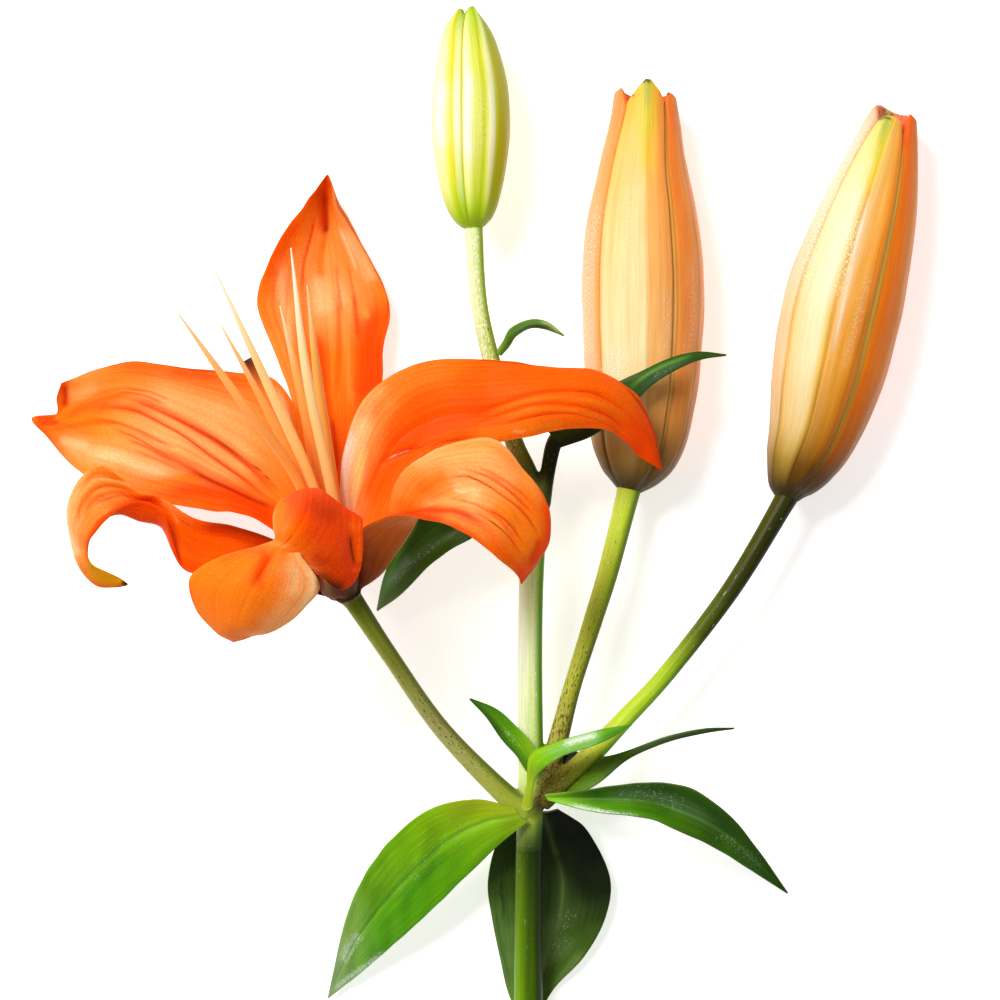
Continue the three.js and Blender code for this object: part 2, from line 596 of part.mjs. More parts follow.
// Materials
const PETAL_ORANGE = { color: 0xf46a12, roughness: 0.45, metalness: 0 };
const FILAMENT_APRICOT = { color: 0xf8a040, roughness: 0.5, metalness: 0 };
const BUD_APRICOT = { color: 0xf0b060, roughness: 0.55, metalness: 0 };
const BUD_GREEN = { color: 0xc8d060, roughness: 0.5, metalness: 0 };
const LEAF_GREEN = { color: 0x3c7014, roughness: 0.4, metalness: 0 };
const STEM_GREEN = { color: 0x8aa838, roughness: 0.5, metalness: 0 };

const lily = new THREE.Group();

function addPiece(name, geometry, finish) {
  const piece = new THREE.Mesh(geometry, new THREE.MeshStandardMaterial(finish));
  piece.name = name;
  lily.add(piece);
}

// A rod along placed points, with its radius given at each of them
function rodAlong(axis, radii, sides, steps) {
  const rings = [];
  for (let i = 0; i <= steps; i++) {
    const frame = ringFrame(axis, i / steps);
    const radius = curveValue(radii, i / steps);
    const angles = Array.from({ length: sides }, (_, j) => (2 * Math.PI * j) / sides);
    rings.push(angles.map((angle) => ringPoint(frame, angle, radius)));
  }
  return ringsGeometry(rings, axis[0], axis[axis.length - 1]);
}

function stemGeometry() {
  return joined(STALKS.map(({ points, radii, steps }) => {
    return rodAlong(points.map(place), radii, STEM_SIDES, steps);
  }));
}

function stamensGeometry() {
  const { radius, bottom, top, sides } = COLLAR;
  const rings = [bottom, top].map((level) => Array.from({ length: sides }, (_, j) => {
    return throatPoint((2 * Math.PI * j) / sides, radius, level);
  }));
  const collar = ringsGeometry(rings, throatPoint(0, 0, bottom), throatPoint(0, 0, top));
  const filaments = FILAMENT_PATHS.map(({ angle, path }) => {
    const foot = throatPoint(THREE.MathUtils.degToRad(angle), FILAMENT.footRadius, FILAMENT.foot);
    return rodAlong([foot, ...path.map(place)], FILAMENT.radii, FILAMENT.sides, FILAMENT.steps);
  });
  return joined([collar, ...filaments]);
}

function pistilGeometry() {
  const axis = [throatPoint(0, 0, PISTIL.foot), ...PISTIL.path.map(place)];
  return rodAlong(axis, PISTIL.radii, PISTIL.sides, PISTIL.steps);
}

function sheetPiece(rows, thickness, stepsPerRow, stepsAcross, root = []) {
  const placed = rows.map((row) => (Array.isArray(row[0]) ? row.map(place) : place(row)));
  const stations = [...root, ...placed];
  return sheetGeometry(stations, thickness, stepsPerRow * (stations.length - 1), stepsAcross);
}

addPiece("stem", stemGeometry(), STEM_GREEN);
for (const { name, angle, turn, rows } of PETALS) {
  const columns = rows[0].length;
  const root = [petalRoot(angle, turn, columns)];
  const stepsAcross = columns === 3 ? 6 : 8;
  addPiece(name, sheetPiece(rows, PETAL_THICKNESS, 2, stepsAcross, root), PETAL_ORANGE);
}
addPiece("stamens", stamensGeometry(), FILAMENT_APRICOT);
addPiece("pistil", pistilGeometry(), FILAMENT_APRICOT);
for (const bud of BUDS) {
  addPiece(bud.name, budGeometry(bud), bud.name === "bud_green" ? BUD_GREEN : BUD_APRICOT);
}
for (const { name, rows } of LEAVES) {
  addPiece(name, sheetPiece(rows, LEAF_THICKNESS, 2, 4), LEAF_GREEN);
}

export default lily;
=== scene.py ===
import math

import bpy
import numpy as np
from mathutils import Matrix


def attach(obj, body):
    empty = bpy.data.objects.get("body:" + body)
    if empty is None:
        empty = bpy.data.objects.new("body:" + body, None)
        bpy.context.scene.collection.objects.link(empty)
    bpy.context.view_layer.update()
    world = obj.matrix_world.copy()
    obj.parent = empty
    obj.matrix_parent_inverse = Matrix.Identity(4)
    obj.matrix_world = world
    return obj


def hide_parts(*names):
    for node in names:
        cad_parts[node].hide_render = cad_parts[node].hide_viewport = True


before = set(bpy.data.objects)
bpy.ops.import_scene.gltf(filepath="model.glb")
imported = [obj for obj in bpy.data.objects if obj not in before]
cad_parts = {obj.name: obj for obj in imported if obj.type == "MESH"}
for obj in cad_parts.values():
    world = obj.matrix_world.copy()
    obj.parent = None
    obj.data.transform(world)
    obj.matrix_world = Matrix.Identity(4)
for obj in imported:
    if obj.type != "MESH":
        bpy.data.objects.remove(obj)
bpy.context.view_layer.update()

# Stem: the green shoot of the lily, a round juicy stalk with a thin waxy skin, cut at its lower end.
# The bloom's stalk and two bud stalks leave it at one whorl, and it forks again under the green bud.
# The stretches are made as rods along its run and then grown into one skin, with soft crotches.

# Points are laid out as the lily is seen from straight above, across, along and height in
# millimetres, on a sheet at this height over the floor, with the eye one metre over the sheet.
SHEET_HEIGHT = 40
EYE_DISTANCE = 1000
MIDDLE = np.array([-4.5, -20.6])
METRES = 0.001


def placed(points):
    """Where layout points lie in the model, in millimetres."""
    points = np.asarray(points, float)
    shrink = 1 - (points[..., 2:] - SHEET_HEIGHT) / EYE_DISTANCE
    return np.concatenate([points[..., :2] * shrink - MIDDLE, points[..., 2:]], axis=-1)


def laid_out(points):
    """Where placed points show on the layout, across and along."""
    shrink = 1 - (points[..., 2:] - SHEET_HEIGHT) / EYE_DISTANCE
    return (points[..., :2] + MIDDLE) / shrink


def smooth(points, shares):
    """A smooth curve through points or values, read at shares of its run."""
    points = np.asarray(points, float)
    ends = [2 * points[:1] - points[1:2], points, 2 * points[-1:] - points[-2:-1]]
    padded = np.concatenate(ends)
    last = len(points) - 1
    at = np.clip(np.asarray(shares, float) * last, 0, last - 1e-9)
    i = at.astype(int)
    f = (at - i).reshape((-1,) + (1,) * (points.ndim - 1))
    a, b, c, d = padded[i], padded[i + 1], padded[i + 2], padded[i + 3]
    bend = 2 * a - 5 * b + 4 * c - d
    twist = 3 * (b - c) - a + d
    return 0.5 * (2 * b + (c - a) * f + bend * f**2 + twist * f**3)


def linear(code):
    """An sRGB hex colour as linear red, green and blue."""
    srgb = np.array([int(code[i : i + 2], 16) / 255 for i in (1, 3, 5)])
    return np.where(srgb <= 0.04045, srgb / 12.92, ((srgb + 0.055) / 1.055) ** 2.4)


def shaded(codes, shares):
    """Colours at shares of the way through a run of evenly spaced hex colours."""
    colours = np.array([linear(code) for code in codes])
    steps = np.linspace(0, 1, len(codes))
    return np.stack([np.interp(shares, steps, colours[:, k]) for k in range(3)], axis=-1)


def ease(low, high, values):
    """How far values have come from low to high, from 0 to 1, with a soft start and end."""
    share = np.clip((np.asarray(values, float) - low) / (high - low), 0, 1)
    return share * share * (3 - 2 * share)


def mixed(first, second, share):
    share = np.clip(share, 0, 1)[..., None]
    return first * (1 - share) + second * share


def unit(vectors):
    return vectors / np.maximum(np.linalg.norm(vectors, axis=-1, keepdims=True), 1e-12)


def step_lengths(points):
    """The distances from point to point along a run, or along each row of a grid."""
    return np.linalg.norm(np.diff(points, axis=-2), axis=-1)


def ring_frames(axis, shares):
    """Centres along an axis, with the ways ahead, right and up there."""
    step = 0.01
    ahead = unit(smooth(axis, np.minimum(shares + step, 1)) - smooth(axis, np.maximum(shares - step, 0)))
    right = unit(np.cross(ahead, [0, 0, 1]))
    return smooth(axis, shares), ahead, right, np.cross(right, ahead)


def turns(sides):
    return np.arange(sides) * 2 * math.pi / sides


def rod(axis, radii, steps, sides):
    """Rings of points round an axis, with radii spread evenly along it."""
    shares = np.linspace(0, 1, steps + 1)
    centre, _, right, up = ring_frames(axis, shares)
    around = turns(sides)[:, None]
    spokes = np.cos(around) * right[:, None] + np.sin(around) * up[:, None]
    return centre[:, None] + smooth(radii, shares)[:, None, None] * spokes


def ring_faces(rings, sides):
    """The faces of a closed body made of rings of points."""
    faces = []
    for i in range(rings - 1):
        for j in range(sides):
            a = i * sides + j
            b = i * sides + (j + 1) % sides
            faces.append((a, a + sides, b + sides, b))
    faces.append(tuple(range(sides)))
    faces.append(tuple(range(rings * sides - 1, (rings - 1) * sides - 1, -1)))
    return faces


def joined(bodies):
    """The points and faces of closed bodies of rings, as one mesh."""
    points, faces, used = [], [], 0
    for rings in bodies:
        points.append(rings.reshape(-1, 3))
        faces += [tuple(used + k for k in face) for face in ring_faces(*rings.shape[:2])]
        used += len(points[-1])
    return np.concatenate(points), faces


def add_piece(name, points, faces, material):
    """A closed smooth mesh from points in millimetres, turned so that its faces point out."""
    corners = np.array([(f[0], f[1], f[2]) for f in faces] + [(f[0], f[2], f[-1]) for f in faces])
    a, b, c = points[corners[:, 0]], points[corners[:, 1]], points[corners[:, 2]]
    if (a * np.cross(b, c)).sum() < 0:
        faces = [face[::-1] for face in faces]
    mesh = bpy.data.meshes.new(name)
    mesh.from_pydata((points * METRES).tolist(), [], faces)
    mesh.materials.append(material)
    mesh.shade_smooth()
    piece = bpy.data.objects.new(name, mesh)
    bpy.context.collection.objects.link(piece)
    return piece


def colour_in(piece, tint, lie, **amounts):
    """Each point's own colour, how it lies (mm across the fibres, mm along them, its side), and
    amounts from 0 to 1 of the other things that its material shows."""
    mesh = piece.data
    rgba = np.concatenate([np.clip(tint, 0, 1), np.ones((len(tint), 1))], axis=1)
    mesh.color_attributes.new("tint", "FLOAT_COLOR", "POINT").data.foreach_set("color", rgba.ravel())
    mesh.attributes.new("lie", "FLOAT_VECTOR", "POINT").data.foreach_set("vector", lie.ravel())
    for name, amount in amounts.items():
        amount = np.clip(amount, 0, 1) * np.ones(len(tint))
        mesh.attributes.new(name, "FLOAT", "POINT").data.foreach_set("value", amount)


def add_node(tree, kind, inputs=(), **settings):
    """One shader node. An input is set to a value, or linked where a socket is given."""
    node = tree.nodes.new("ShaderNode" + kind)
    for name, value in settings.items():
        setattr(node, name, value)
    for name, value in dict(inputs).items():
        if isinstance(value, bpy.types.NodeSocket):
            tree.links.new(value, node.inputs[name])
        else:
            node.inputs[name].default_value = value
    return node


def new_material(name):
    """A material of that name with an empty tree of nodes."""
    material = bpy.data.materials.new(name)
    material.use_nodes = True
    material.node_tree.nodes.clear()
    return material, material.node_tree


# A speck shows where its noise, helped by this much of the amount stored on the skin, is high enough.
SPREAD = 0.35

# A colour Mix node has several sockets of each name, so these are the places of its colour ones.
MIX_A, MIX_B, MIX_RESULT = 6, 7, 2


def skin_grain(tree, lie, width, length, detail):
    """A noise whose bumps are that wide and long in mm, across and along the fibres of a skin."""
    scale = (1 / width, 1 / length, 1)
    stretched = add_node(tree, "Mapping", {"Vector": lie, "Scale": scale}).outputs["Vector"]
    return add_node(tree, "TexNoise", {"Vector": stretched, "Scale": 1.0, "Detail": detail}).outputs["Fac"]


def lit_by(tree, colour, grain, span, light):
    """A colour times a light that follows a grain over a span of its values, from dark to bright."""
    factor = add_node(tree, "MapRange", {
        "Value": grain, "From Min": span[0], "From Max": span[1], "To Min": light[0], "To Max": light[1],
    }).outputs["Result"]
    return add_node(tree, "VectorMath", {0: colour, 1: factor}, operation="MULTIPLY").outputs["Vector"]


def speckled(tree, colour, grain, span, most, code):
    """A colour with specks of another, which grow to most over a span of a grain's values."""
    factor = add_node(tree, "MapRange", {
        "Value": grain, "From Min": span[0], "From Max": span[1], "To Min": 0.0, "To Max": most,
    }).outputs["Result"]
    specks = {"Factor": factor, MIX_A: colour, MIX_B: (*linear(code), 1)}
    return add_node(tree, "Mix", specks, data_type="RGBA").outputs[MIX_RESULT]


def waxy_stem_skin():
    """Green stem under a thin waxy skin: fine ribs along it, brown flecks, pale specks of painted glint, a
    satin light.
    """
    rib_width = 0.5
    rib_length = 14
    fleck_width = 0.45
    fleck_length = 0.75
    speck_width = 0.3
    speck_length = 0.6
    material, tree = new_material("waxy_stem_skin")
    tint = add_node(tree, "Attribute", attribute_name="tint").outputs["Color"]
    lie = add_node(tree, "Attribute", attribute_name="lie").outputs["Vector"]
    fleck = add_node(tree, "Attribute", attribute_name="fleck").outputs["Fac"]
    wax = add_node(tree, "Attribute", attribute_name="wax").outputs["Fac"]
    ribs = skin_grain(tree, lie, rib_width, rib_length, 3.0)
    ribbed = lit_by(tree, tint, ribs, (0.3, 0.7), (0.86, 1.1))
    flecks = skin_grain(tree, lie, fleck_width, fleck_length, 2.0)
    flecks = add_node(tree, "Math", {0: fleck, 1: SPREAD, 2: flecks}, operation="MULTIPLY_ADD")
    flecked = speckled(tree, ribbed, flecks.outputs["Value"], (0.76, 0.86), 0.8, "#4a3414")
    specks = skin_grain(tree, lie, speck_width, speck_length, 1.0)
    specks = add_node(tree, "Math", {0: wax, 1: SPREAD, 2: specks}, operation="MULTIPLY_ADD")
    skin = speckled(tree, flecked, specks.outputs["Value"], (0.76, 0.9), 0.9, "#f4f8dc")
    bump = add_node(tree, "Bump", {"Height": ribs, "Strength": 0.5, "Distance": 0.12 * METRES})
    shader = add_node(tree, "BsdfPrincipled", {
        "Base Color": skin, "Roughness": 0.38, "IOR": 1.42, "Specular IOR Level": 0.14,
        "Subsurface Weight": 0.06, "Subsurface Radius": (0.6, 1.0, 0.2), "Subsurface Scale": 1.0 * METRES,
        "Normal": bump.outputs["Normal"],
    })
    add_node(tree, "OutputMaterial", {"Surface": shader.outputs["BSDF"]})
    return material


# Each stretch: its run, its radii, the skin's colours along it on its left, its middle and its right
# side, painted paler on the left, toward the lamp, and darker on the right as painted shade, and how
# flecked it is and how much painted glint it has along it
# The main stem's near-white left side above the whorl is a painted highlight, and its dark stretch just under
# the whorl is painted shade under the whorl's leaves.
MAIN_STEM = {  # main stem, from the cut end to the fork
    "run": [
        [7.2, -155, 3.55], [6.8, -120, 8.8], [7, -84, 14.2], [7.4, -67, 17], [7.2, -36, 19],
        [7.8, -14, 20], [9.6, 2, 20],
    ],
    "radii": [3.75, 3.6, 3.3, 3.15, 3.05, 3.0, 2.7],
    "left": ["#88b818", "#74a008", "#445c04", "#e4f49c", "#fafee0", "#f0fcb8", "#7c8a3c"],
    "middle": ["#7cac08", "#4c6c04", "#24380a", "#ccec6c", "#f0fcb0", "#d4ec78", "#6c7a30"],
    "right": ["#649404", "#1c3404", "#142204", "#5c9404", "#60a404", "#68a80c", "#4c5a1c"],
    "fleck": [0.1, 0.1, 0.1, 0.05, 0, 0.05, 0.3],
    "wax": [0.1, 0.1, 0.1, 0.5, 0.7, 0.5, 0.1],
}
BLOOM_STALK = {
    "run": [
        [6.5, -74.5, 17], [0, -69.5, 20], [-14.3, -54.6, 28], [-26.5, -37.2, 35.5],
        [-35.8, -23.2, 41.6],
    ],
    "radii": [3.2, 2.7, 2.2, 2.1, 2.5],
    "left": ["#b4c82c", "#b8c048", "#bcb86c", "#b0b848", "#84981c"],
    "middle": ["#a8bc20", "#b0b840", "#b4b264", "#a8b43c", "#748c14"],
    "right": ["#6c8010", "#6c7c1c", "#787c2c", "#688018", "#3c5404"],
    "fleck": [0.2, 0.35, 0.5, 0.35, 0.2],
    "wax": [0.1, 0.2, 0.3, 0.2, 0.1],
}
MIDDLE_BUD_STALK = {
    "run": [
        [9.5, -71, 17], [13, -61, 17], [17.3, -45, 17], [22.3, -29, 16], [26, -17, 15.4],
        [30.6, 1, 14.7], [31.4, 5, 14.4],
    ],
    "radii": [2.7, 2.6, 2.2, 2.4, 2.6, 2.9, 3.7],
    "left": ["#a0843c", "#b4a84c", "#c4c44c", "#c8d448", "#ccdc44", "#ccdc4c", "#94a828"],
    "middle": ["#98783c", "#a89c40", "#b4b834", "#bccc30", "#c0d430", "#c0d838", "#8ca020"],
    "right": ["#4c3414", "#5c5420", "#5c6418", "#68781c", "#688418", "#688a18", "#4c5c10"],
    "fleck": [1.0, 0.9, 0.6, 0.35, 0.25, 0.15, 0.1],
    "wax": [0.2, 0.2, 0.25, 0.3, 0.3, 0.25, 0.1],
}
# The dark upper stretch of this stalk, toward its bud, is painted shade.
RIGHT_BUD_STALK = {
    "run": [
        [9.5, -72.5, 17.5], [20, -63, 18.5], [29.5, -53, 18], [40.3, -41.3, 17.2],
        [55.6, -21.3, 16], [68, -0.7, 15], [69.5, 3, 14.5],
    ],
    "radii": [2.9, 2.7, 2.4, 2.2, 2.4, 2.8, 3.6],
    "left": [
        "#8c7c30", "#a49c38", "#bcbc40", "#c8d040", "#cce440", "#cce438", "#b8d428", "#687410", "#4c5408",
        "#4c4c08", "#4c4808", "#4c4808", "#4c4408",
    ],
    "middle": [
        "#6c5c20", "#8c8c28", "#acb830", "#b8cc30", "#c4e434", "#bcdc2c", "#a4c81c", "#505c08", "#343c04",
        "#303404", "#303404", "#303004", "#302c04",
    ],
    "right": [
        "#3c3c10", "#48580c", "#54780c", "#68940c", "#7cb010", "#78a80c", "#5c8408", "#2c3804", "#202804",
        "#1c2002", "#1c2002", "#202002", "#241c04",
    ],
    "fleck": [0.8, 0.5, 0.1, 0.1, 0.1, 0.2, 0.3],
    "wax": [0.2, 0.2, 0.2, 0.2, 0.15, 0.1, 0.1],
}
GREEN_BUD_STALK = {
    "run": [
        [9.5, -1, 20], [6.5, 7, 20], [3, 15, 20], [-1.7, 32, 20], [-5, 47, 20], [-6.3, 64, 20],
        [-6.6, 67.5, 20],
    ],
    "radii": [2.6, 2.4, 2.3, 2.2, 2.1, 2.3, 3.0],
    "left": ["#3c4818", "#5c6c20", "#94a448", "#c4d474", "#e4ecac", "#e8f0b4", "#c4d85c"],
    "middle": ["#34400c", "#5c681c", "#8c9c34", "#b4cc54", "#d0e07c", "#d4e484", "#b0d040"],
    "right": ["#1c2c04", "#3c4c0c", "#647418", "#7c9824", "#88b02c", "#8cb82c", "#84b01c"],
    "fleck": [0.3, 0.3, 0.5, 0.5, 0.25, 0.05, 0],
    "wax": [0.1, 0.2, 0.5, 0.7, 0.8, 0.8, 0.3],
}
TOP_LEAF_BRANCH = {
    "run": [[9.8, -1, 20], [11.3, 6, 20.5], [12.9, 13.4, 21.6], [15.5, 16.6, 24], [19, 18.6, 26.8]],
    "radii": [2.5, 1.9, 2.0, 1.9, 1.0],
    "left": ["#2c3c0c", "#243408", "#243408", "#2c4408", "#34540c"],
    "middle": ["#243008", "#1c2804", "#1c2c04", "#243c04", "#2c4c08"],
    "right": ["#141c04", "#101404", "#101804", "#142804", "#1c3404"],
    "fleck": [0.1, 0.1, 0.1, 0, 0],
    "wax": [0.1, 0.15, 0.1, 0, 0],
}
PETAL_CONE = {  # low cone that the petals stand on
    "run": [[-35, -24.5, 40.9], [-35.9, -23.3, 41.5], [-36.4, -22.4, 42]],
    "radii": [2.2, 2.8, 3.7],
    "left": ["#5c6c10", "#5c3c08", "#5c3008"],
    "middle": ["#4c5c08", "#4c3004", "#4c2404"],
    "right": ["#243004", "#241c04", "#241004"],
    "fleck": [0, 0, 0],
    "wax": [0, 0, 0],
}
STALKS = [
    MAIN_STEM, BLOOM_STALK, MIDDLE_BUD_STALK, RIGHT_BUD_STALK,
    GREEN_BUD_STALK, TOP_LEAF_BRANCH, PETAL_CONE,
]
STALK_STEPS = 90
STALK_SIDES = 28
SKIN_GRAIN = 0.4
JOINT_BLEND = 0.7

# Each point of the skin looks for the nearest of this many stations along each stalk, and the points
# are taken in blocks, which need less memory.
STATIONS = 160
BLOCKS = 40

# Where the colours pass into one another, and where the painted glints fade out, from -1 on a stalk's
# lit left to 1 on its shaded right
LEFT_TO_MIDDLE = (-0.7, 0.1)
MIDDLE_TO_RIGHT = (0.2, 0.85)
GLINT_TO_SHADED_SIDE = (0.2, 0.9)

rods = [rod(placed(stalk["run"]), stalk["radii"], STALK_STEPS, STALK_SIDES) for stalk in STALKS]
rough = add_piece("rods", *joined(rods), waxy_stem_skin())
grow = rough.modifiers.new("one skin", "REMESH")
grow.mode = "VOXEL"
grow.voxel_size = SKIN_GRAIN * METRES
relax = rough.modifiers.new("soft crotches", "SMOOTH")
relax.factor = 0.5
relax.iterations = 8
ready = rough.evaluated_get(bpy.context.evaluated_depsgraph_get())
mesh = bpy.data.meshes.new_from_object(ready)
bpy.data.objects.remove(rough)
stem = bpy.data.objects.new("stem_shoot", mesh)
bpy.context.collection.objects.link(stem)
mesh.shade_smooth()

skin = np.empty(len(mesh.vertices) * 3)
mesh.vertices.foreach_get("co", skin)
skin = skin.reshape(-1, 3) / METRES
shares = np.linspace(0, 1, STATIONS)
depths, coats, lies, flecks, waxes = [], [], [], [], []
for stalk in STALKS:
    centre, _, right, up = ring_frames(placed(stalk["run"]), shares)
    nearest = np.concatenate([
        np.linalg.norm(block[:, None] - centre, axis=2).argmin(1) for block in np.array_split(skin, BLOCKS)
    ])
    here = shares[nearest]
    spoke = skin - centre[nearest]
    across = (spoke * right[nearest]).sum(1)
    above = (spoke * up[nearest]).sum(1)
    radius = smooth(stalk["radii"], shares)[nearest]
    depths.append(np.linalg.norm(spoke, axis=1) - radius)
    # Painted light: the lit left side takes the paler colours and the shaded right side the darker ones.
    side = across / radius
    coat = mixed(shaded(stalk["left"], here), shaded(stalk["middle"], here), ease(*LEFT_TO_MIDDLE, side))
    coats.append(mixed(coat, shaded(stalk["right"], here), ease(*MIDDLE_TO_RIGHT, side)))
    flecks.append(smooth(stalk["fleck"], here))
    # Painted glints fade out toward the shaded right side.
    waxes.append(smooth(stalk["wax"], here) * (1 - ease(*GLINT_TO_SHADED_SIDE, side)))
    length = step_lengths(centre).sum()
    lies.append(np.stack([np.arctan2(across, above) * radius, here * length, radius], axis=1))
depths = np.array(depths)
pull = np.exp(-(depths - depths.min(0)) / JOINT_BLEND)
pull /= pull.sum(0)
coat = (pull[..., None] * np.array(coats)).sum(0)
fleck = (pull * np.array(flecks)).sum(0)
wax = (pull * np.array(waxes)).sum(0)
lie = np.array(lies)[depths.argmin(0), np.arange(len(skin))]

# The cut end shows pale pith in a green rind. It reaches this deep in mm, and this share of the radius.
PITH = ["#e6e8b8", "#d6dc98", "#a8b860", "#6c8428"]
PITH_DEPTH = (0.1, 0.5)
PITH_REACH = 1.05
cut_centre, cut_ahead, _, _ = ring_frames(placed(MAIN_STEM["run"]), np.array([0.0]))
from_cut = skin - cut_centre[0]
at_cut = 1 - ease(*PITH_DEPTH, from_cut @ cut_ahead[0])
from_middle = np.linalg.norm(from_cut, axis=1) / MAIN_STEM["radii"][0]
coat = mixed(coat, shaded(PITH, from_middle), at_cut * (from_middle < PITH_REACH))
colour_in(stem, coat, lie, fleck=fleck, wax=wax)
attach(stem, "root")
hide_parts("stem")

# Leaves and bracts: thin waxy blades that grow straight from the stem without a leaf stalk. Each has
# a sunk middle rib, a keel under it and fine side ribs that run from base to point, as lily leaves do.
# They are made from rows of points listed from margin to margin, as the solids are.
LEAF_THICKNESS = 0.7
EDGE_THICKNESS = 0.25
TIP_HALF_WIDTH = 0.25
LEAST_WIDTH = 0.5
MARGIN_CROWDING = 0.6
RIM_SHARPNESS = 12
THIN_FROM = 0.75


def sheet(rows, steps_along, steps_across, root=()):
    """A fine grid through rows of points. The last entry is a tip point, or a whole row if torn."""
    full = [*root, *(placed(row) for row in rows[:-1])]
    end = placed(rows[-1])
    if end.ndim == 1:
        across = unit(full[-1][-1] - full[-1][0])
        end = end + np.linspace(-TIP_HALF_WIDTH, TIP_HALF_WIDTH, len(full[-1]))[:, None] * across
    along = np.linspace(0, 1, steps_along + 1)
    even = np.linspace(0, 1, steps_across + 1)
    crowded = 0.5 - 0.5 * np.cos(math.pi * even)
    across = even * (1 - MARGIN_CROWDING) + crowded * MARGIN_CROWDING
    stations = smooth(np.array([*full, end]), along)
    grid = smooth(stations.transpose(1, 0, 2), across).transpose(1, 0, 2)
    widths = np.maximum(step_lengths(grid).sum(1), LEAST_WIDTH)
    run = np.concatenate([[0], np.cumsum(step_lengths(grid[:, steps_across // 2]))])
    return {
        "grid": grid,
        "across": np.broadcast_to(2 * across - 1, grid.shape[:2]),
        "along": np.broadcast_to(along[:, None], grid.shape[:2]),
        "half_width": np.broadcast_to(widths[:, None] / 2, grid.shape[:2]),
        "run": np.broadcast_to(run[:, None], grid.shape[:2]),
    }


def sheet_normals(grid):
    return unit(np.cross(np.gradient(grid, axis=0), np.gradient(grid, axis=1)))


def unevenness(x, y, size, seed):
    """A gentle seeded unevenness from about -1 to 1, in bumps of about that size."""
    chance = np.random.default_rng(seed)
    total = 0
    waves = 7
    for _ in range(waves):
        heading = chance.uniform(0, 2 * math.pi)
        pace = 2 * math.pi / (size * chance.uniform(0.7, 1.6))
        wave = x * math.cos(heading) + y * math.sin(heading)
        total = total + np.sin(pace * wave + chance.uniform(0, 2 * math.pi))
    return total * 2 / waves


# Fibres start within this reach of the middle, and each grows and fades over these shares of the run.
FIBRE_REACH = 0.9
FIBRE_GROWS = 0.12
FIBRE_FADES = 0.25


def ribs(sheet, count, width, seed):
    """How strongly each spot lies on one of the fibres that fan from base to tip, from 0 to 1."""
    chance = np.random.default_rng(seed)
    total = np.zeros(sheet["across"].shape)
    for place in np.linspace(-FIBRE_REACH, FIBRE_REACH, count):
        place += chance.uniform(-0.5, 0.5) / count
        start = chance.uniform(0, 0.25)
        end = chance.uniform(0.65, 1.0)
        strength = chance.uniform(0.4, 1.0)
        gap = (sheet["across"] - place) * sheet["half_width"] / width
        shown = ease(start, start + FIBRE_GROWS, sheet["along"])
        shown = shown * (1 - ease(end - FIBRE_FADES, end, sheet["along"]))
        total = np.maximum(total, strength * shown * np.exp(-gap * gap))
    return total


def add_sheet(name, sheet, thickness, material):
    """A blade with thin rounded margins round a grid. It gives back the piece."""
    grid = sheet["grid"]
    normals = sheet_normals(grid)
    rows, columns = grid.shape[:2]
    rim = np.sqrt(np.clip(1 - np.abs(sheet["across"]) ** RIM_SHARPNESS, 0, 1))
    taper = EDGE_THICKNESS + (thickness - EDGE_THICKNESS) * (1 - ease(THIN_FROM, 1, sheet["along"]))
    spread = normals * (rim * np.minimum(taper, thickness) / 2)[..., None]
    face = grid + spread
    back = (grid - spread)[:, 1:-1]
    loops = np.concatenate([face, back[:, ::-1]], axis=1)
    sides = loops.shape[1]
    faces = ring_faces(rows, sides)[:-2]
    for first in (0, (rows - 1) * sides):
        for j in range(columns - 1):
            far = (sides - j) % sides
            corners = [first + j, first + j + 1, first + sides - j - 1, first + far]
            if j == 0:
                corners = corners[:3]
            if j == columns - 2:
                corners = [first + j, first + j + 1, first + far]
            faces.append(tuple(corners) if first else tuple(corners[::-1]))
    return add_piece(name, loops.reshape(-1, 3), faces, material)


def both_sides(face, back):
    """Values of a blade's face and back in the order of its points."""
    loops = np.concatenate([face, back[:, 1:-1][:, ::-1]], axis=1)
    return loops.reshape(loops.shape[0] * loops.shape[1], -1)


def grain_places(blade, apart, sides_apart):
    """Where a blade's grain lies: mm across, mm along, and a layer of its own for its face and back."""
    across = blade["across"] * blade["half_width"].max()
    face = np.stack([across, blade["run"], np.full(across.shape, apart)], axis=-1)
    return both_sides(face, face + np.array([0, 0, sides_apart]))


# A soft line has a tenth of its strength at its ends and all of it within a fifth of its run.
LINE_STEPS = 6
LINE_RISE = 5
LINE_END = 0.1


def near_line(where, width, run):
    """How strongly each place on the layout lies on a line, from 0 to 1."""
    line = smooth(run, np.linspace(0, 1, LINE_STEPS * len(run)))
    start = line[:-1]
    leg = np.diff(line, axis=0)
    offset = where[..., None, :] - start
    share = np.clip((offset * leg).sum(-1) / np.maximum((leg * leg).sum(1), 1e-9), 0, 1)
    gaps = np.linalg.norm(offset - share[..., None] * leg, axis=-1)
    nearest = gaps.argmin(-1)[..., None]
    gap = np.take_along_axis(gaps, nearest, -1)[..., 0]
    reached = (nearest + np.take_along_axis(share, nearest, -1))[..., 0] / len(leg)
    fade = np.clip(np.minimum(reached, 1 - reached) * LINE_RISE + LINE_END, 0, 1)
    return fade * np.exp(-(gap / width) ** 2)


def add_marks(tint, where, marks):
    """Soft lines and patches: each has its colour, half-width in mm, strength and run on the layout."""
    for code, width, strength, run in marks:
        tint = mixed(tint, linear(code), strength * near_line(where, width, run))
    return tint


def add_lines(amount, where, lines):
    """Soft lines added to an amount: each has its half-width in mm, strength and run on the layout."""
    for width, strength, run in lines:
        amount = amount + strength * near_line(where, width, run)
    return amount


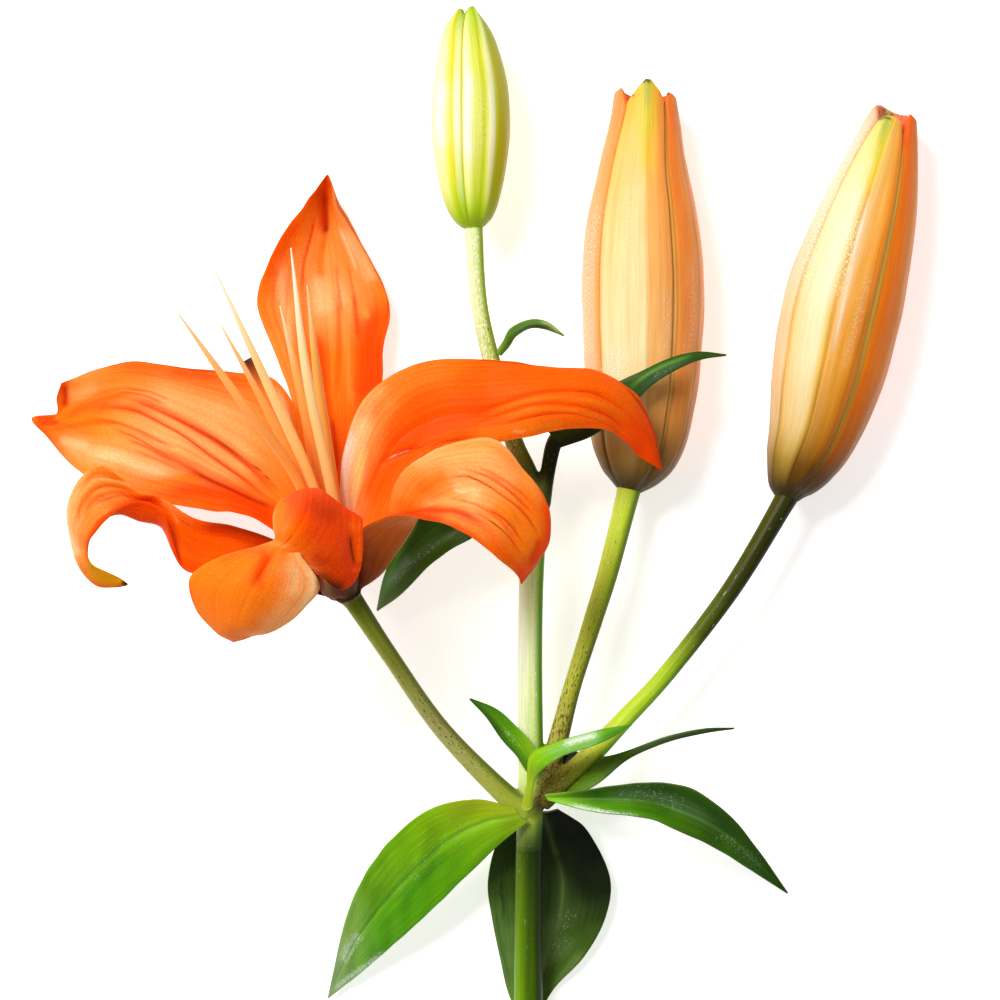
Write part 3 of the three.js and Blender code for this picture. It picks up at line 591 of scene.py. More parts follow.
def waxy_leaf():
    """Thick green leaf with a clear waxy skin: parallel fibres, uneven green, pale specks of painted glint,
    window gloss.
    """
    fibre_width = 0.5
    fibre_length = 16
    cell_width = 0.35
    cell_length = cell_width / 0.4
    speck_width = 0.5
    speck_length = speck_width / 0.6
    material, tree = new_material("waxy_leaf")
    tint = add_node(tree, "Attribute", attribute_name="tint").outputs["Color"]
    lie = add_node(tree, "Attribute", attribute_name="lie").outputs["Vector"]
    wax = add_node(tree, "Attribute", attribute_name="wax").outputs["Fac"]
    fibres = skin_grain(tree, lie, fibre_width, fibre_length, 4.0)
    green = lit_by(tree, tint, fibres, (0.3, 0.7), (0.82, 1.16))
    specks = skin_grain(tree, lie, speck_width, speck_length, 3.0)
    waxed = add_node(tree, "Math", {0: specks, 1: wax}, operation="ADD").outputs["Value"]
    skin = speckled(tree, green, waxed, (0.7, 1.0), 0.8, "#e8f2e0")
    cells = skin_grain(tree, lie, cell_width, cell_length, 3.0)
    height = add_node(tree, "Math", {0: fibres, 1: cells}, operation="ADD").outputs["Value"]
    bump = add_node(tree, "Bump", {"Height": height, "Strength": 0.7, "Distance": 0.12 * METRES})
    worn = add_node(tree, "MapRange", {
        "Value": cells, "From Min": 0.35, "From Max": 0.65, "To Min": 0.3, "To Max": 0.5,
    })
    shader = add_node(tree, "BsdfPrincipled", {
        "Base Color": skin, "Roughness": worn.outputs["Result"], "IOR": 1.42, "Specular IOR Level": 0.2,
        "Subsurface Weight": 0.05, "Subsurface Radius": (0.4, 1.0, 0.15), "Subsurface Scale": 0.8 * METRES,
        "Normal": bump.outputs["Normal"],
    })
    add_node(tree, "OutputMaterial", {"Surface": shader.outputs["BSDF"]})
    return material


# Each blade: its greens from base to point on the halves of its first and its last margin, its back, its
# middle rib, its rows, its marks, and where painted glints whiten it
LEAF_LEFT = {
    "name": "leaf_left",
    "first": ["#b0c418", "#a0c008", "#88bc04", "#78b408", "#6ca814", "#8cb450", "#acc88c"],
    "last": ["#a0c410", "#84b808", "#64ac02", "#58a404", "#58a410", "#78ac40", "#a0bc7c"],
    "back": "#86a45c",
    "rib": "#7cc02c",
    "rows": [
        [[2.5, -73.5, 21.2], [4.5, -75.5, 22], [6.8, -77, 20.6]],
        [[-6, -71.8, 24], [-4, -77.5, 22], [-1, -83.5, 20]],
        [[-16.5, -74, 26], [-12.5, -82, 22.5], [-9.8, -92, 17.5]],
        [[-25.5, -80.8, 24], [-21.5, -90, 19.5], [-19.2, -101, 14]],
        [[-32.5, -90, 19], [-29.5, -99, 14], [-27.3, -108.3, 9]],
        [[-37.2, -101, 12], [-35.5, -107.5, 8], [-34, -114, 5]],
        [-41.3, -119.5, 2],
    ],
    "marks": [
        ("#94d024", 1.2, 0.6, [(3, -76), (-5, -78), (-12, -81.5)]),
        ("#a0ac20", 2.2, 0.5, [(2, -73.5), (-6, -72.8), (-14, -74.5)]),
        ("#3c7c02", 1.5, 0.5, [(4, -78.5), (-2, -84), (-8, -91), (-16, -100)]),
        ("#2c8408", 1.2, 0.4, [(-12, -84), (-18, -90), (-24, -97)]),
    ],
    "wax": [
        (5.0, 0.1, [(-4, -76), (-16, -84), (-26, -96)]),
        (2.0, 0.34, [(-38.5, -112), (-36, -107), (-33, -103)]),
        (1.0, 0.36, [(-41, -118.5), (-37, -115), (-32, -111.5), (-27, -107.5)]),
        (0.8, 0.06, [(-19, -90), (-22, -91), (-25, -94)]),
    ],
}
# On this leaf the grey-green band along the middle is a painted sheen, and the glints along its lower edge
# are painted highlights.
LEAF_RIGHT = {
    "name": "leaf_right",
    "first": ["#8cc01c", "#447410", "#345808", "#345c0c", "#305808", "#2c5004", "#284c04"],
    "last": ["#94d024", "#589810", "#4c8408", "#3c6808", "#346004", "#2c5404", "#284c04"],
    "back": "#6f8a4c",
    "rib": "#5c9430",
    "rows": [
        [[10.7, -70.6, 22.2], [11, -71.4, 22], [11.7, -72.2, 22.2]],
        [[22, -69.3, 25], [23, -71.7, 23.5], [23, -75, 26]],
        [[34, -67.8, 28], [35, -72.3, 25], [34.5, -76.3, 29]],
        [[45, -68.8, 29], [46, -75.8, 25], [44, -80, 28]],
        [[54.5, -75, 26], [54.5, -80.5, 22], [52.3, -84, 24]],
        [[61.5, -83.3, 20], [61.5, -87, 17.5], [60.3, -89, 19]],
        [69, -94.3, 13],
    ],
    "marks": [
        ("#1c4008", 1.2, 0.5, [(16, -70.4), (30, -68.6), (44, -70), (54, -76)]),
        ("#5c7c50", 1.6, 0.5, [(24, -71.5), (34, -70.5), (44, -73.5), (53, -79)]),
        ("#94d83c", 0.7, 0.7, [(12, -72), (18, -73.6), (26, -75.4)]),
    ],
    "wax": [
        (3.0, 0.15, [(26, -71), (36, -70.5), (47, -74.5)]),
        (0.8, 0.44, [(15, -72.9), (22, -74.5), (29, -75.8), (34, -76.3)]),
        (2.0, 0.16, [(50, -79), (58, -84), (64, -90)]),
    ],
}
# This leaf's near-black base and its two darkest marks are painted shadow of the leaves lying over it.
LEAF_BACK = {
    "name": "leaf_back",
    "first": ["#1c2c04", "#2c3c08", "#446020", "#5c7c38", "#648438", "#648430"],
    "last": ["#0c1002", "#101602", "#182404", "#3c5810", "#547418", "#4c6c10"],
    "back": "#6f8a4c",
    "rib": "#6c8444",
    "rows": [
        [[7, -75.5, 11.4], [10.5, -75, 11.8], [14, -74.2, 12.6]],
        [[0, -81, 8.5], [12.5, -82, 7], [20.5, -78.8, 9]],
        [[-2.9, -91, 6.5], [15, -91, 4.8], [26.3, -90, 6.5]],
        [[-2, -100, 4.8], [14.3, -100, 3.6], [25.4, -100, 5]],
        [[0, -110, 3.2], [11.5, -109.5, 2.8], [20.3, -109.5, 4]],
        [[2.2, -119, 1.8], [9, -118.5, 1.6], [12.5, -118, 2.2]],
        [7.2, -128.4, 1],
    ],
    "marks": [
        ("#080c02", 5.0, 0.85, [(13, -77), (20, -81), (25, -88)]),
        ("#0c1204", 3.0, 0.7, [(13, -84), (17, -88), (22, -94)]),
        ("#74904c", 1.3, 0.5, [(12, -99), (12, -106), (10, -114)]),
        ("#80a050", 1.0, 0.4, [(20, -108), (16, -113), (11.5, -118)]),
        ("#1c3008", 0.35, 0.8, [(1, -90), (0.2, -94), (0.9, -97), (0.4, -101)]),
        ("#2c4414", 0.3, 0.5, [(-0.8, -84), (-1.2, -94), (0, -106), (2.5, -116)]),
    ],
    "wax": [(3.0, 0.12, [(16, -96), (15, -104), (10, -114)])],
}
LEAF_BEHIND_BLOOM = {
    "name": "leaf_behind_bloom",
    "first": ["#344808", "#284008", "#2c4c04", "#3c6008", "#54801c", "#84a45c"],
    "last": ["#283808", "#203804", "#284804", "#38580c", "#486c18", "#709048"],
    "back": "#5c7440",
    "rib": "#4c6c2c",
    "rows": [
        [[4.5, 3, 20.5], [4.6, 0.8, 20], [4.4, -1.2, 20.5]],
        [[-5, 2.5, 23], [-3, -2, 22], [-1.5, -6, 22.5]],
        [[-15, -1, 25], [-10, -6.5, 22.5], [-6.5, -9, 23.5]],
        [[-23.5, -8.5, 22], [-18, -13.5, 19.5], [-15.5, -14.5, 21]],
        [[-27.8, -18, 15], [-24.5, -20, 13.5], [-23.5, -22.5, 13.5]],
        [-29.5, -26.5, 6],
    ],
    "marks": [
        ("#5c9c14", 0.55, 0.85, [(-19.5, -4.5), (-24, -12), (-28, -20.5)]),
        ("#8ca084", 1.1, 0.55, [(-21, -13.5), (-24.5, -17), (-27.5, -21)]),
        ("#6c8454", 0.9, 0.5, [(-10, -7.5), (-16, -10.5), (-22, -15)]),
    ],
    "wax": [(1.2, 0.16, [(-12, -8), (-20, -14), (-27, -21)])],
}
LEAF_UPPER = {
    "name": "leaf_upper",
    "first": ["#2c4408", "#2c4c04", "#2c5004", "#305808", "#2c5004", "#2c4c04", "#2c4804"],
    "last": ["#1c2c04", "#1c3404", "#1c3c04", "#204404", "#284c04", "#284c04", "#284c04"],
    "back": "#56703a",
    "rib": "#3c6c1c",
    "rows": [
        [[11.6, 16.6, 24.4], [13.2, 14.6, 24.8], [14.8, 12.6, 24.4]],
        [[18, 20.5, 28], [20, 18, 28], [22.5, 15.5, 29]],
        [[26, 27, 32], [28, 24.5, 32], [30.5, 21.5, 33.5]],
        [[34, 31, 33.5], [35, 29.3, 34.5], [36.5, 27.5, 35.5]],
        [[41.5, 34.3, 34.5], [42, 32.9, 35.5], [43, 31.5, 36]],
        [[48, 35.6, 35], [48, 34.7, 35.5], [48.5, 33.7, 36]],
        [54.3, 34.8, 35],
    ],
    "marks": [("#6cb020", 0.35, 0.5, [(31, 27), (38, 31.5), (46, 34.6)])],
    "wax": [(0.8, 0.12, [(33, 26.5), (38, 30), (44, 33)])],
}
# The near-white marks along this bract's middle are painted highlights.
BRACT_CENTRE = {
    "name": "bract_centre",
    "first": ["#c0d038", "#b4d020", "#90c40c", "#88c410", "#84c414", "#68ac10", "#50900c"],
    "last": ["#b4cc2c", "#a4c810", "#78b404", "#68ac04", "#60ac08", "#4c9404", "#3c8004"],
    "back": "#86a85c",
    "rib": "#84cc3c",
    "rows": [
        [[5.2, -73.4, 23], [6.4, -74.4, 23.4], [7.6, -73.4, 23]],
        [[6.3, -68, 25.5], [7.3, -68, 26], [8.4, -67.5, 27]],
        [[7.3, -61, 28.5], [9, -62.5, 29.5], [10.5, -64.5, 31]],
        [[13, -58.2, 29.5], [14, -59.8, 31.5], [15, -61.5, 33]],
        [[20, -56.2, 30.5], [20.5, -57.7, 32.5], [21.5, -59.3, 34]],
        [[26, -54.8, 31], [26.5, -55.7, 32.5], [27, -57, 33.5]],
        [31.5, -53.9, 32],
    ],
    "marks": [
        ("#ecf8e8", 0.8, 0.9, [(15.5, -58.9), (19, -57.7), (23.5, -56.6)]),
        ("#8cc468", 1.0, 0.6, [(11, -61), (16, -59.4), (25, -56.8)]),
        ("#d8ecc8", 0.3, 0.8, [(13, -62.5), (18, -60.8), (24, -58.6)]),
        ("#2c7404", 0.5, 0.6, [(8, -60.2), (14, -57.7), (22, -55.4), (28, -54.4)]),
    ],
    "wax": [(1.2, 0.3, [(14, -59.6), (19, -57.9), (25, -56.2)])],
}
BRACT_LEFT = {
    "name": "bract_left",
    "first": ["#9cc828", "#80b814", "#589808", "#448004", "#346804"],
    "last": ["#5c8c0c", "#4c840c", "#3c7404", "#346804", "#2c5c04"],
    "back": "#5c7a38",
    "rib": "#7cb824",
    "rows": [
        [[9.8, -61.5, 23.2], [8, -64, 23.6], [6.3, -65.2, 23.2]],
        [[7, -57.5, 24.5], [5, -60, 25.5], [3.5, -61, 24.4]],
        [[3, -53.3, 25], [1.5, -55.5, 26.5], [0, -57, 25]],
        [[-1, -50, 25.5], [-2.5, -51, 26.5], [-3.5, -52, 25.5]],
        [-7.2, -47.7, 26],
    ],
    "marks": [("#183404", 0.7, 0.7, [(4.8, -63.5), (0.4, -58.4), (-3.4, -52.6)])],
    "wax": [(0.8, 0.2, [(5, -60), (0, -54)])],
}
# This bract's base is widened under the stalks, and its near-black mark there is painted shadow in the gap
# between the middle and the right bud stalks.
BRACT_RIGHT = {
    "name": "bract_right",
    "first": ["#141c04", "#384c08", "#507014", "#486c0c", "#446010", "#345008", "#2c4808"],
    "last": ["#5c7c10", "#688c10", "#588014", "#385804", "#304804", "#283c04", "#243804"],
    "back": "#5c6c44",
    "rib": "#4c6c20",
    "rows": [
        [[10.5, -62, 14.5], [12, -67.5, 17], [13.5, -72, 18.5]],
        [[15.5, -59.8, 15], [17, -65, 18], [19, -70.5, 21]],
        [[23.5, -61.6, 19.5], [24, -64.6, 21], [24, -67.8, 22.2]],
        [[31, -60, 23], [31.3, -60.9, 22.6], [31.5, -61.8, 22]],
        [[40, -56.9, 23.5], [40, -57.4, 22.9], [40.3, -58, 22.2]],
        [[49, -54.9, 23], [49, -55.4, 22.6], [49, -56, 22.2]],
        [56.2, -54.8, 22.5],
    ],
    "marks": [
        ("#060802", 2.4, 0.95, [(12, -62), (16, -61.5), (19.5, -60.5)]),
        ("#8c8434", 0.8, 0.5, [(14, -68), (17, -64.6), (20.5, -61.8)]),
    ],
    "wax": [],
}
BRACT_UPPER = {
    "name": "bract_upper",
    "first": ["#84a438", "#548014", "#4c7814", "#54841c", "#84a44c"],
    "last": ["#547814", "#345004", "#345804", "#446810", "#647c38"],
    "back": "#5c7440",
    "rib": "#6c9440",
    "rows": [
        [[-0.9, 35.6, 20.6], [-0.4, 35, 21], [0.2, 34.6, 21.6]],
        [[0.8, 38.2, 21.2], [1.5, 37.5, 21.8], [2.2, 36.9, 22.8]],
        [[2.6, 41.3, 21.5], [3.2, 40.3, 22.5], [3.8, 39.4, 24]],
        [[7, 43.2, 21.5], [7, 42.3, 23], [7, 41.2, 24.5]],
        [[11.5, 42.7, 21.5], [11, 41.8, 22.5], [10.5, 41.1, 23.5]],
        [15.4, 39.4, 21.5],
    ],
    "marks": [
        ("#18280a", 0.45, 0.8, [(4, 39.4), (8, 41.4), (12, 41.2)]),
        ("#b4cc8c", 0.4, 0.6, [(9.5, 42.6), (12, 41.9), (14.4, 40)]),
    ],
    "wax": [],
}
LEAVES = [
    LEAF_LEFT, LEAF_RIGHT, LEAF_BACK, LEAF_BEHIND_BLOOM, LEAF_UPPER,
    BRACT_CENTRE, BRACT_LEFT, BRACT_RIGHT, BRACT_UPPER,
]
MIDDLE_RIB = {"width": 0.7, "depth": 0.45, "strength": 0.5}
SIDE_RIBS = {"count": 13, "width": 0.42, "depth": 0.1, "light": 1.3, "strength": 0.5}
BACK_RIBS = {"light": 1.25, "middle": 0.8, "side": 0.4}
LEAF_SWELL = {"length": 9, "rise": 0.22, "seed": 40}
LEAF_PATCHES = {"length": 14, "span": (0.1, 0.9), "light": 0.8, "seed": 60}
LEAF_GRAIN = 0.55
LEAST_COLUMNS = 14
FULL_HALF_WIDTH = 6

# The greens of the two halves mix up to this share of the way from the middle to the margins.
HALVES_MEET = 0.6

# Each blade takes its own layer of the grain, this far in mm from the last one's, and so does its back.
LEAVES_APART = 20.0
LEAF_SIDES_APART = 7.0

leaf_skin = waxy_leaf()
for seed, leaf in enumerate(LEAVES):
    middles = [row[len(row) // 2] for row in leaf["rows"][:-1]]
    length = step_lengths(placed([*middles, leaf["rows"][-1]])).sum()
    width = max(step_lengths(row).sum() for row in leaf["rows"][:-1])
    columns = max(LEAST_COLUMNS, 2 * round(width / LEAF_GRAIN / 2))
    blade = sheet(leaf["rows"], round(length / LEAF_GRAIN), columns)
    across, along, half = blade["across"], blade["along"], blade["half_width"]

    # The ribs and the swell are shape, weaker where the blade is narrow.
    narrow = np.minimum(half / FULL_HALF_WIDTH, 1)
    middle = np.exp(-(across * half / MIDDLE_RIB["width"]) ** 2) * (1 - ease(THIN_FROM, 1, along)) * narrow
    fan = ribs(blade, SIDE_RIBS["count"], SIDE_RIBS["width"], seed) * narrow
    swell = unevenness(across * half, blade["run"], LEAF_SWELL["length"], seed + LEAF_SWELL["seed"])
    up = sheet_normals(blade["grid"])
    face_up = np.sign(up[..., 2].mean())
    sink = MIDDLE_RIB["depth"] * middle + SIDE_RIBS["depth"] * fan + swell * LEAF_SWELL["rise"] * narrow
    blade["grid"] = blade["grid"] - up * face_up * sink[..., None]
    piece = add_sheet(leaf["name"], blade, LEAF_THICKNESS, leaf_skin)

    # The face has its two greens, paler ribs and darker patches, and the back a dull green of its own.
    share = ease(-HALVES_MEET, HALVES_MEET, across)
    greens = mixed(shaded(leaf["first"], along), shaded(leaf["last"], along), share)
    greens = mixed(greens, linear(leaf["rib"]), MIDDLE_RIB["strength"] * middle)
    greens = mixed(greens, greens * SIDE_RIBS["light"], SIDE_RIBS["strength"] * fan)
    patchy = unevenness(across * half, blade["run"], LEAF_PATCHES["length"], seed + LEAF_PATCHES["seed"])
    greens = mixed(greens, greens * LEAF_PATCHES["light"], ease(*LEAF_PATCHES["span"], patchy))
    under = np.broadcast_to(linear(leaf["back"]), greens.shape)
    raised = BACK_RIBS["middle"] * middle + BACK_RIBS["side"] * fan
    under = mixed(under, under * BACK_RIBS["light"], raised)
    where = laid_out(blade["grid"])
    greens = add_marks(greens, where, leaf["marks"])
    # Painted glints: pale specks where the light would catch the leaf's face.
    wax = add_lines(0 * along, where, leaf["wax"])[..., None]
    tints, waxes = [greens, under], [wax, 0 * wax]
    if face_up < 0:
        tints.reverse()
        waxes.reverse()
    lie = grain_places(blade, LEAVES_APART * seed, LEAF_SIDES_APART)
    colour_in(piece, both_sides(*tints), lie, wax=both_sides(*waxes)[:, 0])
    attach(piece, "root")
    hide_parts(leaf["name"])

# Buds: three outer petals closed over three inner ones, whose keels show in the gaps between them.
# The skin is firm, satin and downy, and the tips part a little once the bud is ripe. Each is turned
# up ring by ring, so the seams, the ribs and the parting tips are all shape.
BUD_STEPS = 150
BUD_SIDES = 240
TIP_START = 0.72
BASE_END = 0.2
BASE_COLOUR = (0.02, 0.34)
TIP_FLATNESS = 0.35
BUD_DENTS = {"length": 6, "stretch": 3, "rise": 0.1, "seed": 11}
BUDS_APART = 31

# The rim's rings, by how far in and up each lies in mm, and the rings of the hollow's floor, by how
# wide they are beside the tip
ROLLED_RIM = [(0.35, 0.3), (0.85, 0.25), (1.15, -0.5), (1.35, -1.8)]
HOLLOW_FLOOR = [0.4, 0.04]

# Glints lie on the upper side, where the cosine of the turn from straight up is above this.
GLINT_SIDE = -0.2


def satin_bud_skin():
    """Firm bud skin with a downy satin: fine fibres along it and, where light catches, tiny pale glints."""
    fibre_width = 0.5
    fibre_length = 14
    down_width = 0.38
    down_length = down_width / 0.6
    material, tree = new_material("satin_bud_skin")
    tint = add_node(tree, "Attribute", attribute_name="tint").outputs["Color"]
    lie = add_node(tree, "Attribute", attribute_name="lie").outputs["Vector"]
    glint = add_node(tree, "Attribute", attribute_name="glint").outputs["Fac"]
    fibres = skin_grain(tree, lie, fibre_width, fibre_length, 3.0)
    base = lit_by(tree, tint, fibres, (0.3, 0.7), (0.9, 1.07))
    down = skin_grain(tree, lie, down_width, down_length, 2.0)
    bright = add_node(tree, "MapRange", {
        "Value": down, "From Min": 0.46, "From Max": 0.66, "To Min": 0.0, "To Max": 0.85,
    })
    part = add_node(tree, "Math", {0: bright.outputs["Result"], 1: glint}, operation="MULTIPLY")
    skin = add_node(tree, "Mix", {
        "Factor": part.outputs["Value"], MIX_A: base, MIX_B: (*linear("#fffaf0"), 1),
    }, data_type="RGBA")
    height = add_node(tree, "Math", {0: fibres, 1: down}, operation="ADD").outputs["Value"]
    bump = add_node(tree, "Bump", {"Height": height, "Strength": 0.7, "Distance": 0.12 * METRES})
    shader = add_node(tree, "BsdfPrincipled", {
        "Base Color": skin.outputs[MIX_RESULT], "Roughness": 0.4, "IOR": 1.4, "Specular IOR Level": 0.25,
        "Subsurface Weight": 0.1, "Subsurface Radius": (1.0, 0.5, 0.2), "Subsurface Scale": 1.5 * METRES,
        "Normal": bump.outputs["Normal"],
    })
    add_node(tree, "OutputMaterial", {"Surface": shader.outputs["BSDF"]})
    return material


# Coats of a bud's skin, each from above the base to the tip. On the green bud the pale coat is a
# painted highlight tone and the shaded_right coat painted shade down its right side.
GREEN_COATS = {
    "face": ["#c4dc20", "#ecee5c", "#eef060", "#b8d020"],
    "pale": ["#dcec50", "#fbfbbc", "#fbf9b8", "#c8dc40"],
    "deep": ["#a8cc04", "#ccd414", "#ccd014", "#98bc14"],
    "gold": ["#c4d818", "#f4e444", "#f4dc40", "#c4c420"],
    "line": ["#8cac04", "#bcac08", "#b8a408", "#5c5c08"],
    "keel": ["#b0d028", "#ecf2a4", "#ecf098", "#a8c030"],
    "shaded_right": ["#9cbc04", "#bcb804", "#b8b408", "#84a010"],
}
RIPE_COATS = {
    "cream": ["#d8a850", "#ffe8b0", "#ffcf7a", "#fcc038"],
    "glow": ["#e4bc68", "#ffe1a5", "#ffd080", "#f8c82c"],
    "gold": ["#c89038", "#fdbc6c", "#fdb258", "#f8b830"],
    "peach": ["#b4782c", "#fab060", "#fba048", "#f89830"],
    "salmon": ["#b88030", "#ff9c48", "#ff8c30", "#f88028"],
    "blush": ["#c89850", "#fdc088", "#fdac68", "#f89448"],
    "apricot": ["#b8782c", "#f4a858", "#f49c40", "#f08c30"],
    "keel": ["#a07820", "#f0b058", "#f0a848", "#f09838"],
    "seam": ["#906418", "#e09844", "#e08830", "#c87020"],
    "line": ["#845410", "#cc8438", "#c87820", "#a85814"],
}
LATE_COATS = {
    "cream": ["#cca030", "#fedc98", "#ffe8ac", "#fcd450"],
    "glow": ["#dcb048", "#ffe8b4", "#ffeebc", "#f4d848"],
    "gold": ["#b88824", "#f8c85c", "#f8cc5c", "#ecd040"],
    "groove": ["#704c06", "#d09028", "#dca034", "#e8b040"],
    "ridge": ["#905c0c", "#f8b454", "#fcc880", "#f8b850"],
    "peach": ["#885808", "#f09c28", "#fcb450", "#f8a840"],
    "apricot": ["#784404", "#e88414", "#fa9628", "#f48828"],
    "keel": ["#6c5408", "#c89430", "#dca83c", "#e8a440"],
    "salmon": ["#743c04", "#f07804", "#fc7c08", "#fc6814"],
    "rust": ["#683c06", "#e07c10", "#ec8818", "#e87c28"],
    "blush": ["#d0a860", "#fdd8a4", "#fddcac", "#f8bc90"],
    "seam": ["#7c5008", "#d88428", "#dc8428", "#cc6420"],
    "line": ["#684408", "#e0a458", "#e4a85c", "#d08848"],
}

# Each bud: its axis, its radii, how deep the hollow between its tips is, its coats, its base, an olive
# brown that is partly painted shade at the foot, and its inside, the stations round it, how its rim
# rises and falls, its marks and its glints. Round a bud, angles go from straight up, right is plus. Each
# station has its angle along the body and at the tip, how far it stands out in mm, and its coat.
# The four near-white marks on this bud are painted highlights.
BUD_GREEN = {
    "name": "bud_green",
    "slot": "green_bud",
    "axis": [
        [-6.3, 65.4, 20], [-6.5, 67.5, 20], [-6.8, 71.5, 20], [-7, 78, 20], [-7, 88, 20],
        [-7.1, 98, 20], [-7.5, 107, 20], [-8, 113, 20], [-8.1, 116.8, 20],
    ],
    "radii": [2.6, 4.6, 6.5, 8.1, 9.4, 9.1, 7.4, 5.4, 2.6],
    "hollow": 0.6,
    "coats": GREEN_COATS,
    "base": "#98c40c",
    "inside": "#3c3c10",
    "round": [
        (-108, -100, 0, "face"), (-90, -80, 0.1, "face"), (-62, -55, 0.25, "pale"),
        (-48, -45, 0.3, "pale"), (-38, -40, 0.25, "face"), (-33, -35, 0.2, "gold"),
        (-28.5, -31, -0.3, "gold"), (-26, -28, -0.2, "keel"), (-20, -16, 0, "keel"),
        (-16, -9, -0.1, "keel"), (-13.7, -7, -0.4, "line"), (-11.5, -5, 0.15, "gold"),
        (-9, -2, 0.3, "pale"), (-2, 6, 0.35, "pale"), (6, 14, 0.25, "face"), (14, 22, 0.1, "face"),
        (20, 30, 0.1, "deep"), (26, 36, 0.2, "face"), (31, 42, 0.35, "pale"), (36, 46, 0.3, "pale"),
        (42, 51, 0.1, "deep"), (50, 58, 0, "shaded_right"), (75, 80, 0.15, "shaded_right"), (100, 100, 0.2, "shaded_right"),
        (130, 130, 0.3, "face"), (150, 150, 0.1, "face"), (153, 153, -0.4, "line"),
        (160, 160, -0.1, "keel"), (167, 167, -0.4, "line"), (170, 170, 0.1, "face"),
        (205, 205, 0.3, "deep"),
    ],
    "rim": [
        (-150, 0), (-90, 0.1), (-55, 0.7), (-38, 0.9), (-24, 0.5), (-10, -0.5), (0, 0.2), (20, 1.2),
        (48, 1.4), (70, 0.8), (100, 0.1),
    ],
    "marks": [
        ("#fdfce4", 1.5, 0.7, [(-14, 84), (-14.4, 92), (-13.6, 102)]),
        ("#fdfce8", 1.0, 0.8, [(-7.6, 80), (-7.8, 92), (-7.2, 104)]),
        ("#fdfce0", 0.5, 0.7, [(-2, 78), (-1.8, 90), (-2.6, 101)]),
        ("#fcfce0", 0.5, 0.6, [(-10.2, 86), (-10.3, 94), (-10.2, 102)]),
        ("#8cb410", 1.6, 0.5, [(-9.4, 66.6), (-6.6, 67.6), (-4.4, 67)]),
        ("#3c2c10", 0.35, 0.9, [(-9.2, 117.5), (-8.5, 117.2), (-8, 117.4)]),
        ("#7c8c48", 0.6, 0.6, [(-7.2, 118.3), (-6.2, 118.6), (-5.4, 118)]),
    ],
    "glints": [
        (1.6, 0.4, [(-6.2, 80), (-6.2, 92), (-6.6, 103)]),
        (1.2, 0.3, [(-3.6, 82), (-4, 92), (-4.6, 100)]),
        (1.6, 0.4, [(-13, 84), (-13.4, 92), (-12.6, 100)]),
        (0.6, 0.5, [(-10.2, 82), (-10.4, 92), (-10.2, 104)]),
    ],
}
